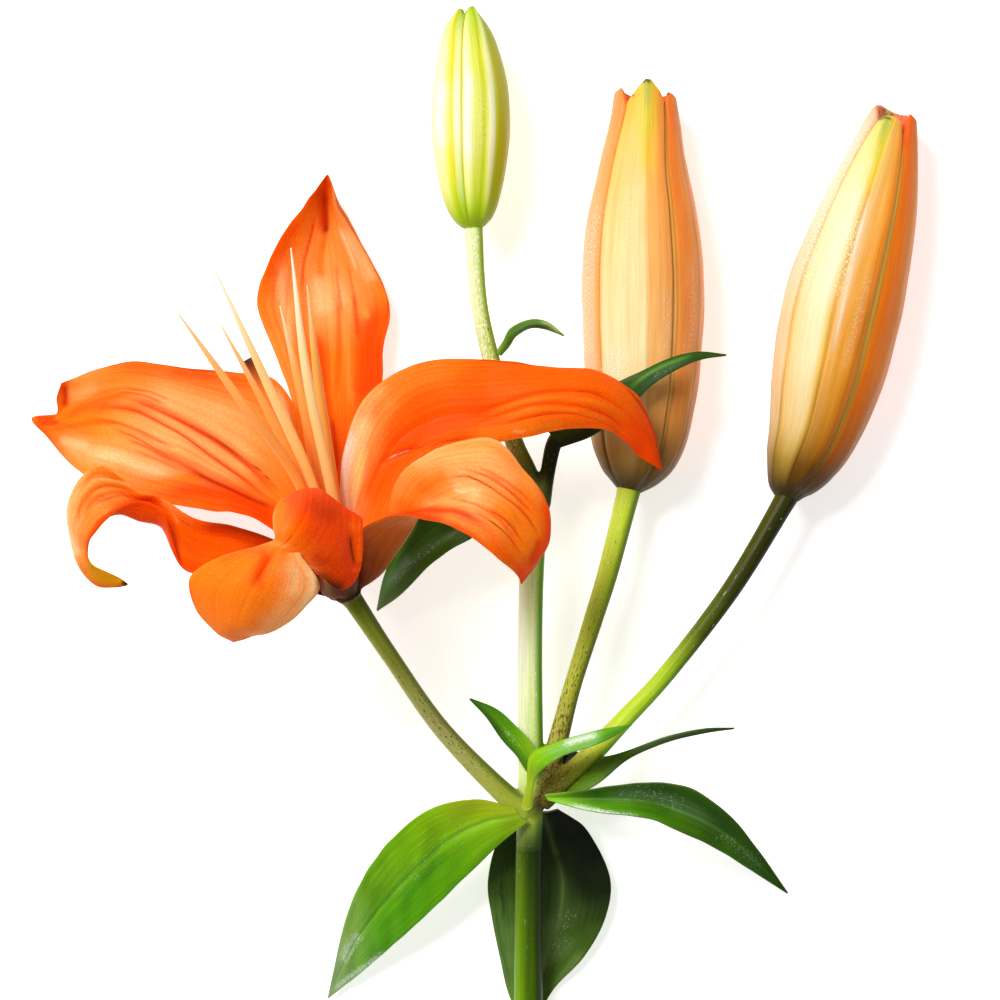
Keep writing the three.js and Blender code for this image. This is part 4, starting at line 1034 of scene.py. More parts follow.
BUD_MIDDLE = {
    "name": "bud_middle",
    "slot": "ripe_bud",
    "axis": [
        [30.9, 2.4, 14.6], [31.7, 6, 14.3], [32.7, 11.5, 14.1], [33.6, 20, 14.1], [34.2, 34, 14.1],
        [34.3, 50, 14.1], [34.2, 66, 14.1], [34.4, 80, 14.1], [34.8, 90, 14.1], [35, 96.4, 14.1],
    ],
    "radii": [3.1, 7.5, 10.8, 12.8, 14.3, 15, 13.8, 10.7, 8.7, 7.7],
    "hollow": 3.5,
    "coats": RIPE_COATS,
    "base": "#4c3804",
    "inside": "#f0500c",
    "round": [
        (-108, -110, 0, "apricot"), (-88, -85, 0.1, "blush"), (-66, -62, 0.3, "blush"),
        (-54, -50, 0.3, "blush"), (-50, -44, 0.15, "peach"), (-48, -41, -0.35, "seam"),
        (-45.5, -38, 0.2, "gold"), (-41, -33, 0.4, "cream"), (-28, -22, 0.3, "cream"),
        (-14, -9, 0.25, "glow"), (-4, -1, 0.35, "glow"), (0, 2, 0.4, "cream"), (5, 6, 0.25, "gold"),
        (12, 14, 0.3, "gold"), (20, 23, 0.4, "peach"), (26, 31, 0.3, "peach"),
        (28.5, 35, -0.4, "line"), (30, 36, -0.25, "keel"), (31.5, 37, -0.2, "keel"),
        (33, 38.5, -0.35, "seam"), (35.5, 41, -0.05, "salmon"), (48, 50, 0.1, "salmon"),
        (57, 60, 0.3, "apricot"), (62, 65, 0.1, "seam"), (66, 70, 0.2, "apricot"),
        (90, 90, 0.1, "apricot"), (125, 125, 0.2, "salmon"), (148, 148, 0.2, "apricot"),
        (151, 151, -0.4, "line"), (156, 156, -0.2, "keel"), (161, 161, -0.4, "line"),
        (164, 164, 0.2, "apricot"), (205, 205, 0.35, "blush"),
    ],
    "rim": [
        (-153, 0.8), (-144, 1.0), (-126, 1.8), (-100, 1.2), (-90, 0.9), (-75, 1.2), (-58, 1.7),
        (-50, 0.8), (-44, -1.6), (-41, -2.6), (-36, -1.6), (-31, -0.6), (-23, 0.8), (-13, 2.4),
        (-3, 3.8), (7.5, 3.7), (15, 2.4), (24.5, 1.0), (31, -0.6), (35, -2.0), (38, -2.4),
        (42, -0.6), (49, 1.0), (65, 0.3), (90, -1.0), (131, 1.0), (147, 0.8), (180, 0.9),
    ],
    "marks": [
        ("#bccc40", 1.5, 0.5, [(35.2, 87), (35.2, 94), (35.3, 104)]),
        ("#a0b44c", 0.9, 0.6, [(35.2, 92), (35.3, 98), (35.3, 105)]),
        ("#f0d41c", 1.9, 0.5, [(35.4, 78), (35.2, 87), (35.2, 98)]),
        ("#3c2414", 0.4, 0.9, [(34.2, 100.2), (35.2, 100.8), (36.2, 100.1)]),
        ("#2c1808", 0.3, 0.8, [(29.6, 98.1), (31, 97.4), (32.4, 97)]),
        ("#2c1808", 0.3, 0.8, [(38.4, 97.2), (39.6, 97.3), (40.8, 97.5)]),
        ("#f8782c", 0.8, 0.6, [(40.9, 95), (41.4, 91), (41.8, 87)]),
        ("#e8a848", 0.5, 0.25, [(27.4, 30), (26.4, 50), (27.4, 70), (30.6, 86)]),
        ("#f0b058", 0.5, 0.25, [(31.4, 30), (30.6, 50), (31.4, 72), (33, 86)]),
        ("#f0a450", 0.6, 0.25, [(35.4, 34), (36, 52), (36.2, 70)]),
        ("#f09848", 0.5, 0.3, [(38, 34), (38.6, 52), (38.4, 72), (37.6, 88)]),
    ],
    "glints": [
        (3.2, 0.85, [(28, 22), (28, 30), (28.5, 38)]),
        (1.6, 0.7, [(21.5, 28), (20.8, 44), (21.6, 60), (24, 74)]),
        (2.0, 0.3, [(30, 44), (31, 62), (32.5, 78)]),
        (1.4, 0.4, [(44, 30), (46.5, 44), (46, 60)]),
        (1.4, 0.3, [(38.5, 26), (40, 40), (39.6, 52)]),
    ],
}
# The near-white mark along this bud's ridge is a painted highlight.
BUD_RIGHT = {
    "name": "bud_right",
    "slot": "ripe_bud",
    "axis": [
        [68.7, 0.5, 14.9], [69.6, 3.6, 14.4], [72, 9, 14], [75.3, 17, 13.9], [78.6, 30, 13.9],
        [82.1, 46, 13.9], [86.2, 61, 13.9], [90.2, 75, 13.9], [93.2, 86.6, 13.9], [94.6, 91.4, 13.9],
    ],
    "radii": [3.1, 5.9, 8.8, 11.2, 13.7, 14.6, 13.1, 10.5, 7.3, 5.6],
    "hollow": 3,
    "coats": LATE_COATS,
    "base": "#3c2c04",
    "inside": "#f07c58",
    "round": [
        (-112, -112, 0, "apricot"), (-92, -90, 0.1, "peach"), (-74, -72, 0.3, "blush"),
        (-62, -54, 0.35, "blush"), (-58, -49, 0.1, "blush"), (-56, -46, -0.35, "line"),
        (-53.5, -43, 0.15, "gold"), (-48, -38, 0.3, "cream"), (-33, -28, 0.3, "glow"),
        (-20, -17, 0.25, "glow"), (-14, -8, 0.15, "gold"), (-10.5, -3, -0.1, "groove"),
        (-8, 0, 0.45, "ridge"), (-3, 4, 0.3, "ridge"), (5, 9, 0.2, "peach"), (11, 15, 0.3, "peach"),
        (18, 20, 0.35, "apricot"), (23.5, 25, 0.2, "apricot"), (25, 26.5, -0.15, "seam"),
        (26.5, 27.5, -0.3, "keel"), (29.5, 28.5, -0.2, "keel"), (31.5, 30, -0.35, "seam"),
        (34, 32, -0.15, "salmon"), (48, 48, 0.1, "salmon"), (60, 58, 0.3, "rust"),
        (90, 90, 0.1, "rust"), (125, 125, 0.2, "salmon"), (153, 153, 0.2, "apricot"),
        (156, 156, -0.4, "seam"), (164, 164, -0.2, "keel"), (171, 171, -0.4, "seam"),
        (174, 174, 0.2, "apricot"), (210, 210, 0.3, "peach"),
    ],
    "rim": [
        (-150, 2.3), (-131, 2.5), (-110, 2.0), (-90, 1.2), (-70, 0.6), (-56, -0.6), (-47, -2.2),
        (-38, -1.2), (-21, -0.3), (-5, -0.3), (11, -0.6), (22, -1.6), (29, -2.4), (33, 0.2),
        (40, 1.6), (61, 1.0), (90, 0.4), (119, 1.0), (143, 2.0), (160, 1.7), (180, 1.8),
    ],
    "marks": [
        ("#b8c444", 1.4, 0.5, [(90.4, 81), (91.6, 86), (93.6, 94)]),
        ("#a0b450", 1.0, 0.6, [(91.2, 84.6), (92.2, 88.6), (94, 96)]),
        ("#f0d830", 1.8, 0.5, [(88, 74), (90.2, 81), (92.4, 90)]),
        ("#4c3410", 0.3, 0.8, [(90.6, 91), (92.4, 91.8), (94.2, 91.2)]),
        ("#2c1410", 0.35, 0.85, [(89.8, 94.8), (91.2, 95.4), (92.6, 94.8)]),
        ("#2c1410", 0.3, 0.85, [(95, 93.2), (96.4, 92.9), (98.4, 92.9)]),
        ("#5c1810", 0.3, 0.8, [(91.4, 93.8), (92, 93.5), (92.6, 93.6)]),
        ("#5c1810", 0.25, 0.8, [(93.6, 92.9), (94.2, 92.6), (94.8, 92.8)]),
        ("#f04408", 0.5, 0.7, [(97, 91.4), (97.2, 88), (97.3, 84)]),
        ("#d8a440", 0.3, 0.5, [(79, 22), (83, 36), (86.2, 50)]),
        ("#b07420", 0.35, 0.6, [(80, 18), (84, 30), (87, 40), (89, 48)]),
        ("#fff0d8", 0.5, 0.6, [(79.4, 34), (82.6, 48), (85.6, 61), (88.4, 72)]),
    ],
    "glints": [
        (4.0, 0.7, [(77, 46), (80.5, 58), (85, 70)]),
        (1.8, 0.9, [(71, 46), (74.5, 60), (80, 75), (86.5, 88), (90, 93)]),
        (0.7, 0.5, [(81.5, 48), (84.5, 62), (88, 76)]),
        (1.0, 0.4, [(82, 30), (86, 44), (89, 56)]),
    ],
}
BUDS = [BUD_GREEN, BUD_MIDDLE, BUD_RIGHT]


def round_values(angles, stations, values):
    """Values that change evenly round a bud from station to station, read at angles in degrees."""
    order = np.argsort(np.mod(stations, 360))
    places = np.mod(stations, 360)[order]
    places = np.concatenate([places[-1:] - 360, places, places[:1] + 360])
    ordered = values[order]
    ordered = np.concatenate([ordered[-1:], ordered, ordered[:1]])
    if ordered.ndim == 1:
        return np.interp(np.mod(angles, 360), places, ordered)
    return np.stack([np.interp(np.mod(angles, 360), places, column) for column in ordered.T], axis=-1)


bud_skin = satin_bud_skin()
for seed, bud in enumerate(BUDS):
    shares = np.linspace(0, 1, BUD_STEPS + 1)
    centre, ahead, right, up = ring_frames(placed(bud["axis"]), shares)
    radius = smooth(bud["radii"], shares)[:, None]
    angle = turns(BUD_SIDES)
    turn = 90 - np.degrees(angle)
    around = np.radians(turn) * radius.max()
    length = np.concatenate([[0], np.cumsum(step_lengths(centre))])
    at_tip = ease(TIP_START, 1, shares)
    body_angles = np.array([station[0] for station in bud["round"]], float)
    tip_angles = np.array([station[1] for station in bud["round"]], float)
    heights = np.array([station[2] for station in bud["round"]], float)
    above_base = (shares - BASE_END) / (1 - BASE_END)
    ramps = np.array([shaded(bud["coats"][station[3]], above_base) for station in bud["round"]])
    ramps = mixed(linear(bud["base"]), ramps, ease(*BASE_COLOUR, shares))
    relief, coat = [], []
    for ring, share in enumerate(at_tip):
        stations = body_angles + (tip_angles - body_angles) * share
        relief.append(round_values(turn, stations, heights))
        coat.append(round_values(turn, stations, ramps[:, ring]))
    relief = np.array(relief) * (ease(0, BASE_END, shares) * (1 - TIP_FLATNESS * at_tip))[:, None]
    lengthwise = length[:, None] / BUD_DENTS["stretch"]
    dents = unevenness(around, lengthwise, BUD_DENTS["length"], seed + BUD_DENTS["seed"])
    relief = relief + BUD_DENTS["rise"] * dents
    rim_angles = np.array([place for place, _ in bud["rim"]], float)
    rim_rise = np.array([rise for _, rise in bud["rim"]], float)
    rise = round_values(turn, rim_angles, rim_rise)[None] * (at_tip ** 2)[:, None]
    spoke = np.cos(angle)[:, None] * right[:, None] + np.sin(angle)[:, None] * up[:, None]
    outside = centre[:, None] + (radius + relief)[..., None] * spoke + rise[..., None] * ahead[:, None]

    # The rim rolls in, and a hollow lies between the parted tips.
    rings = list(outside)
    hollow = bud["hollow"]
    for inward, climb in ROLLED_RIM:
        rings.append(outside[-1] - spoke[-1] * inward + ahead[-1] * climb * min(1, hollow))
    floor = centre[-1] - ahead[-1] * hollow
    for share in HOLLOW_FLOOR:
        rings.append(floor + share * radius[-1] * spoke[-1])
    skin = np.array(rings)
    skin[..., 2] = np.maximum(skin[..., 2], 0)
    piece = add_piece(bud["name"], skin.reshape(-1, 3), ring_faces(len(skin), BUD_SIDES), bud_skin)

    # The rim's first two rings take half of the skin's colour into the lining.
    inner = len(skin) - len(shares)
    lining = np.broadcast_to(linear(bud["inside"]), (inner, BUD_SIDES, 3)).copy()
    lining[:2] = (coat[-1] + lining[:2]) / 2
    where = laid_out(skin)
    tint = add_marks(np.concatenate([coat, lining]), where, bud["marks"])
    seen = np.cos(np.radians(turn)) > GLINT_SIDE
    glint = add_lines(np.zeros(skin.shape[:2]), where, bud["glints"]) * seen
    lie = np.zeros(skin.shape)
    lie[..., 0] = around
    lie[..., 1] = np.concatenate([length, length[-1] + np.arange(inner)])[:, None]
    lie[..., 2] = BUDS_APART * seed
    colour_in(piece, tint.reshape(-1, 3), lie.reshape(-1, 3), glint=glint.ravel())
    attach(piece, "root")
    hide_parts(bud["name"])

# Petals: six broad satin petals, three outer and three inner, that open and roll back from the throat.
# Each is a soft blade, made from rows of points as the leaves are, with a sunk middle rib and fine
# fibres. The bloom is deep orange in the throat and along the fibres, and paler over the open faces;
# the brown at the roots is partly painted shade deep in the throat.
PETAL_THICKNESS = 0.85
THROAT_FOOT = placed([-36.6, -21.8, 42.4])
THROAT_AXIS = unit(np.array([-0.38, 0.82, 0.42]))
THROAT_RIGHT = unit(np.cross(THROAT_AXIS, [0, 0, 1]))
THROAT_UP = np.cross(THROAT_RIGHT, THROAT_AXIS)
PETAL_RING = 4.4
PETAL_ROOT_LEVEL = 0.7
PETAL_ROOT_SPAN = 26


def throat_point(degrees, radius, level):
    """A place round the throat's axis, that far out and up from its foot, in mm."""
    angle = np.radians(degrees)[..., None]
    spoke = np.cos(angle) * THROAT_RIGHT + np.sin(angle) * THROAT_UP
    return THROAT_FOOT + radius * spoke + level * THROAT_AXIS


def satin_petal():
    """Lily petal: a soft skin with satin fibres along it and a fine pearly grain."""
    fibre_width = 0.45
    fibre_length = 20
    band_width = 1.7
    band_length = fibre_length / 0.7
    pearl_width = 0.4
    pearl_length = pearl_width / 0.6
    material, tree = new_material("satin_petal")
    tint = add_node(tree, "Attribute", attribute_name="tint").outputs["Color"]
    lie = add_node(tree, "Attribute", attribute_name="lie").outputs["Vector"]
    fibres = skin_grain(tree, lie, fibre_width, fibre_length, 3.0)
    bands = skin_grain(tree, lie, band_width, band_length, 1.0)
    both = add_node(tree, "Math", {0: fibres, 1: bands}, operation="ADD").outputs["Value"]
    deep = add_node(tree, "MapRange", {
        "Value": both, "From Min": 0.8, "From Max": 1.2, "To Min": 0.0, "To Max": 0.34,
    })
    dark = add_node(tree, "VectorMath", {0: tint, 1: (0.98, 0.62, 0.3)}, operation="MULTIPLY")
    flesh = add_node(tree, "Mix", {
        "Factor": deep.outputs["Result"], MIX_A: tint, MIX_B: dark.outputs["Vector"],
    }, data_type="RGBA")
    pearls = skin_grain(tree, lie, pearl_width, pearl_length, 2.0)
    skin = lit_by(tree, flesh.outputs[MIX_RESULT], pearls, (0.35, 0.65), (0.88, 1.12))
    height = add_node(tree, "Math", {0: both, 1: pearls}, operation="ADD").outputs["Value"]
    bump = add_node(tree, "Bump", {"Height": height, "Strength": 0.6, "Distance": 0.1 * METRES})
    shader = add_node(tree, "BsdfPrincipled", {
        "Base Color": skin, "Roughness": 0.45, "IOR": 1.4, "Specular IOR Level": 0.06,
        "Subsurface Weight": 0.1, "Subsurface Radius": (1.0, 0.4, 0.1), "Subsurface Scale": 1.5 * METRES,
        "Normal": bump.outputs["Normal"],
    })
    add_node(tree, "OutputMaterial", {"Surface": shader.outputs["BSDF"]})
    return material


# Petal colours: one word for each hue of the bloom
CLARET = "#a42404"
BRICK = "#d43c02"
DEEP = "#f64a01"
ORANGE = "#fc6606"
AMBER = "#fd7e16"
PEACH = "#fc943c"
BLUSH = "#fdac64"
CREAM = "#fdd094"
PEARL = "#fff0dc"
BROWN = "#7c2c04"
DARK_BROWN = "#3c1c06"
HONEY = "#e09c08"

# Each petal: its angle round the throat, which way it turns its face, its steps, its face from root to
# tip along its middle and its first and last margins, its back, its rows, its creases (half-width and
# depth in mm, run) and its marks
# The CLARET and BRICK marks in the fold at this petal's tip are painted shade, and the CREAM and PEACH
# patches over its middle are painted highlights.
PETAL_TOP = {
    "name": "petal_top",
    "angle": 270,
    "turn": 1,
    "steps": (170, 76),
    "face": [BRICK, DEEP, ORANGE, AMBER, AMBER, BLUSH, PEACH, AMBER, DEEP],
    "first": [ORANGE, PEACH, PEACH, PEACH, PEACH, AMBER, ORANGE, ORANGE, DEEP],
    "last": [DEEP, DEEP, DEEP, DEEP, DEEP, AMBER, PEACH, BLUSH, ORANGE],
    "back": ["#8a8a34", "#c0803c", "#e87c30", "#f07828", "#f07020", "#e05c14", "#a83c08"],
    "rows": [
        [[-42, -4.8, 32], [-37.7, -4.8, 28.5], [-33.6, -4.8, 32]],
        [[-45.6, 9.6, 23.5], [-38.9, 10.8, 18.5], [-30.7, 9.6, 24]],
        [[-49.5, 22.8, 15.5], [-40.3, 24, 10], [-28.4, 23, 16]],
        [[-53.8, 34.8, 11], [-40.8, 35.5, 4.2], [-28, 36, 10.5]],
        [[-58.3, 48, 8], [-41.8, 48, 0.6], [-26.6, 47.5, 7.6]],
        [[-53.3, 61.7, 8], [-42, 62.4, 2.5], [-33.6, 62.4, 8]],
        [[-46.6, 71.3, 10], [-41.8, 72, 6.5], [-38.5, 71.3, 10]],
        [-41.4, 78, 11],
    ],
    "creases": [
        (0.8, 0.9, [(-41.4, 77), (-41.3, 72), (-41.2, 66), (-41.6, 58)]),
        (0.5, 0.4, [(-44.6, 68), (-45.4, 63), (-47, 57), (-47.6, 50)]),
        (0.5, 0.3, [(-39, 50), (-38.4, 42), (-38.4, 32)]),
        (0.5, 0.3, [(-35.5, 50), (-34.6, 44), (-33.4, 40)]),
        (0.6, 0.35, [(-50.5, 50), (-51, 40), (-48, 28)]),
    ],
    "marks": [
        (DEEP, 2.0, 0.5, [(-48, 69), (-51, 64), (-54.4, 58), (-56.6, 53)]),
        (AMBER, 2.0, 0.6, [(-46, 71), (-46.6, 66), (-49, 60)]),
        (PEACH, 1.8, 0.8, [(-56.4, 50), (-54.4, 45), (-53, 38), (-52, 30)]),
        (CREAM, 1.2, 0.7, [(-52.4, 57), (-52.6, 50), (-51.4, 44), (-50.4, 36)]),
        (CREAM, 2.2, 0.6, [(-44.4, 54), (-43, 49), (-42, 44)]),
        (PEACH, 2.4, 0.8, [(-39.6, 66), (-37.6, 60), (-35.6, 54)]),
        (CREAM, 1.5, 0.6, [(-37.8, 66), (-34.6, 60.6), (-31.4, 55), (-30.6, 52)]),
        (CREAM, 0.4, 0.9, [(-38.2, 65.8), (-36.2, 60.5), (-34, 54.7)]),
        (CREAM, 0.4, 0.7, [(-39, 55), (-38, 50), (-37.4, 46)]),
        (AMBER, 1.0, 0.8, [(-42.4, 63), (-43.4, 58), (-43, 53)]),
        (AMBER, 0.7, 0.7, [(-47.4, 56), (-47.2, 48), (-47, 38)]),
        (DEEP, 3.4, 0.95, [(-27.5, 48), (-30.5, 42), (-31.5, 36), (-32, 28), (-34, 20)]),
        (DEEP, 0.8, 0.9, [(-35, 50), (-34.4, 44), (-33.6, 38)]),
        (PEACH, 1.1, 0.9, [(-33.2, 49.6), (-32.6, 46), (-31.8, 43)]),
        (PEACH, 0.8, 0.8, [(-37, 49), (-36.6, 40), (-36, 28), (-35.4, 22)]),
        (DEEP, 1.5, 0.9, [(-43.8, 41), (-43, 34), (-42.4, 26), (-41.4, 18)]),
        (ORANGE, 0.6, 0.8, [(-39, 50), (-38.6, 42), (-38.8, 32), (-39.4, 24)]),
        (BRICK, 0.9, 0.9, [(-40.6, 20), (-39.6, 14), (-39, 6)]),
        (CLARET, 0.4, 0.9, [(-42.6, 17), (-41.4, 11), (-40.4, 5)]),
        (CLARET, 1.0, 0.95, [(-42, 74.6), (-42.2, 70), (-42, 66), (-41.9, 63.6)]),
        (BRICK, 1.4, 0.7, [(-42.6, 75.6), (-43, 70), (-42.6, 64)]),
        (DEEP, 0.45, 0.8, [(-44.6, 68), (-45.4, 63), (-47, 57), (-47.8, 50)]),
        (DEEP, 0.35, 0.7, [(-39.2, 57), (-38.6, 51), (-37.8, 44)]),
        (DEEP, 0.3, 0.7, [(-36.4, 57), (-35.2, 51), (-34.6, 46)]),
        (CLARET, 0.3, 0.7, [(-39.8, 77), (-38.6, 71), (-33.4, 62), (-28, 51.5), (-26.7, 47), (-28, 39)]),
    ],
}
# Along this petal's creases the DEEP, BRICK, BROWN and CLARET lines are painted shade in the folds, and the
# BLUSH lines between them painted highlights on the ridges.
PETAL_LEFT = {
    "name": "petal_left",
    "angle": 210,
    "turn": -1,
    "steps": (200, 124),
    "face": [DEEP, BRICK, AMBER, PEACH, BLUSH, BLUSH, PEACH, AMBER, AMBER, AMBER],
    "first": [ORANGE, AMBER, AMBER, AMBER, ORANGE, ORANGE, AMBER, PEACH, PEACH, DEEP],
    "last": [DEEP, DEEP, DEEP, DEEP, ORANGE, ORANGE, PEACH, PEACH, AMBER, DEEP],
    "back": ["#8a8a34", "#c0803c", "#e87c30", "#f07828", "#f07020", "#e86414", "#c84c0c"],
    "rows": [
        [[-41, -2, 38], [-42.5, -6, 35], [-44.5, -9, 35], [-46, -12, 37], [-48, -14, 41]],
        [[-46, 15, 34], [-49, 9, 31], [-53, 1, 31], [-53.5, -3, 34], [-54.5, -7, 40]],
        [[-53.5, 28.5, 30], [-57, 18, 28.5], [-61.5, 7, 29.5], [-62, 2, 33], [-62, -3.5, 39]],
        [[-64, 30.7, 27], [-67, 23, 26.5], [-71, 14, 28], [-71.5, 6.5, 33], [-71.5, -2.3, 38.5]],
        [[-76, 31.8, 24], [-78, 26.5, 25], [-80.5, 19.3, 27], [-81.5, 10, 32], [-82, -0.5, 36]],
        [[-88, 33.3, 22.5], [-89, 29, 24], [-90, 23.3, 26], [-91.5, 13.5, 30.5], [-93, 2, 33]],
        [[-97, 31.3, 23], [-97.5, 27.5, 24], [-98, 22, 25], [-99.5, 14.5, 28], [-100.8, 6.8, 29]],
        [
            [-102.4, 29.2, 24.5], [-102.6, 26.3, 24.5], [-103, 21.8, 24.5],
            [-105, 17, 26.5], [-105, 10.6, 27.5],
        ],
        [
            [-105.4, 28.2, 26.5], [-106.4, 24.6, 26.5], [-106.6, 20.6, 25],
            [-112.4, 19.6, 26.5], [-109, 15.6, 26.5],
        ],
    ],
    "creases": [
        (0.8, 1.1, [(-90, 24.8), (-84, 22.6), (-76, 18.6), (-68, 14), (-60, 7.8), (-53, 1)]),
        (0.6, 0.9, [(-97, 22.6), (-88, 21.6), (-80, 18), (-72, 12.8), (-64, 7), (-54, -0.6)]),
        (1.1, 0.9, [(-90, 17.4), (-84, 13.6), (-76, 9), (-68, 4.8), (-60, 1), (-55, -1.6)]),
        (1.0, 0.6, [(-105, 18.4), (-100, 20.6), (-94, 20), (-89, 18.6)]),
        (0.8, 0.5, [(-103, 20.6), (-97, 24.4), (-90, 26.2), (-84, 25)]),
        (1.2, 0.5, [(-94, 30), (-84, 29.6), (-74, 27.6), (-66, 25)]),
    ],
    "marks": [
        (ORANGE, 2.2, 0.9, [(-95, 31.6), (-86, 31.6), (-78, 30.6), (-68, 29.6), (-58, 28.6)]),
        (DEEP, 0.9, 0.6, [(-80, 31), (-74, 30.2), (-68, 29)]),
        (AMBER, 2.0, 0.7, [(-98, 27), (-90, 28.6), (-80, 27), (-72, 25.6), (-62, 25)]),
        (BLUSH, 1.8, 0.6, [(-105, 25.6), (-101, 25.4), (-96, 27.6)]),
        (BLUSH, 3.6, 0.8, [(-86, 27), (-79, 24), (-71, 19), (-63, 13), (-57, 8)]),
        (ORANGE, 1.1, 0.9, [(-105, 19.6), (-100, 22), (-94, 24.2), (-88, 25.6)]),
        (ORANGE, 1.0, 0.7, [(-98, 21.6), (-92, 22), (-86, 20.6)]),
        (BLUSH, 2.2, 0.9, [(-104.6, 13.4), (-100, 12), (-95, 11), (-90, 9)]),
        (CREAM, 1.8, 0.6, [(-100, 10.6), (-92, 10), (-86, 7.6), (-78, 5.6)]),
        (CREAM, 1.2, 0.5, [(-106, 14.4), (-102, 13.6), (-98, 13)]),
        (AMBER, 1.4, 0.95, [(-86, 2.6), (-82, 3.8), (-76, 4.8), (-71, 4.6)]),
        (DEEP, 2.4, 0.95, [(-82, 1.4), (-74, 2), (-66, 0.8), (-58, -2.4), (-52, -6)]),
        (ORANGE, 0.8, 0.9, [(-109, 16.8), (-103, 17.6), (-96, 18.8), (-90, 18)]),
        (DEEP, 1.2, 0.85, [(-90, 24.8), (-84, 22.6), (-76, 18.6), (-68, 14), (-60, 7.8), (-53, 1)]),
        (BRICK, 0.5, 0.9, [(-82, 21.6), (-76, 18.8), (-70, 15.4), (-62, 9.4), (-54, 2)]),
        (BROWN, 0.2, 0.8, [(-74, 18.4), (-66, 13.4), (-58, 7.6), (-53, 2.4)]),
        (DEEP, 0.7, 0.95, [(-97, 22.6), (-88, 21.6), (-80, 18), (-72, 12.8), (-64, 7), (-54, -0.6)]),
        (BRICK, 0.3, 0.9, [(-88, 21.5), (-80, 18), (-72, 12.8), (-64, 7), (-56, 1.2)]),
        (BLUSH, 0.7, 0.9, [(-86, 22.2), (-80, 19.4), (-72, 14.6), (-64, 9.2), (-58, 4.8)]),
        (BLUSH, 1.0, 0.9, [(-87, 18.8), (-80, 15.2), (-74, 11.4), (-67, 7), (-62, 4)]),
        (DEEP, 1.6, 0.8, [(-86, 14.2), (-80, 10.6), (-74, 7.6), (-68, 4.4), (-61, 1.2), (-54.4, -2.4)]),
        (CLARET, 0.8, 0.8, [(-76, 7.6), (-70, 5), (-64, 2.4), (-58, -0.2), (-53, -3)]),
        (BLUSH, 0.25, 0.8, [(-83, 14.6), (-78, 12), (-73, 9.2)]),
        (DEEP, 0.3, 0.8, [(-97, 19.4), (-90, 17.8), (-84, 15.4), (-78, 12.2)]),
        (DEEP, 0.3, 0.8, [(-93, 17), (-87, 14.6), (-80, 10.8)]),
        (DEEP, 0.3, 0.7, [(-90, 14.6), (-84, 12), (-78, 8.8)]),
        (DEEP, 0.3, 0.6, [(-88, 12), (-82, 9.4), (-76, 6.6)]),
        (DEEP, 0.3, 0.7, [(-92, 25.8), (-86, 25.2), (-80, 22.8)]),
        (DEEP, 0.25, 0.6, [(-90, 27), (-84, 26), (-79, 23.8)]),
        (CREAM, 0.7, 0.9, [(-53.4, 27), (-51, 20.5), (-49, 14), (-47, 8)]),
        (BRICK, 0.9, 0.95, [(-104.8, 28), (-104.4, 25), (-104.6, 22)]),
        (DEEP, 1.6, 0.95, [(-106.4, 19.8), (-109, 19.4), (-111.8, 19.4)]),
        (BRICK, 0.5, 0.8, [(-105.4, 18.6), (-108, 18.2), (-110.6, 18.6)]),
        (CLARET, 0.3, 0.7, [(-104, 28.6), (-97, 31.4), (-88, 33.3), (-80, 32.4), (-72, 31), (-62, 30.7)]),
        (CLARET, 0.5, 0.7, [(-105.6, 21), (-108, 21.2), (-110.6, 20.4)]),
    ],
}
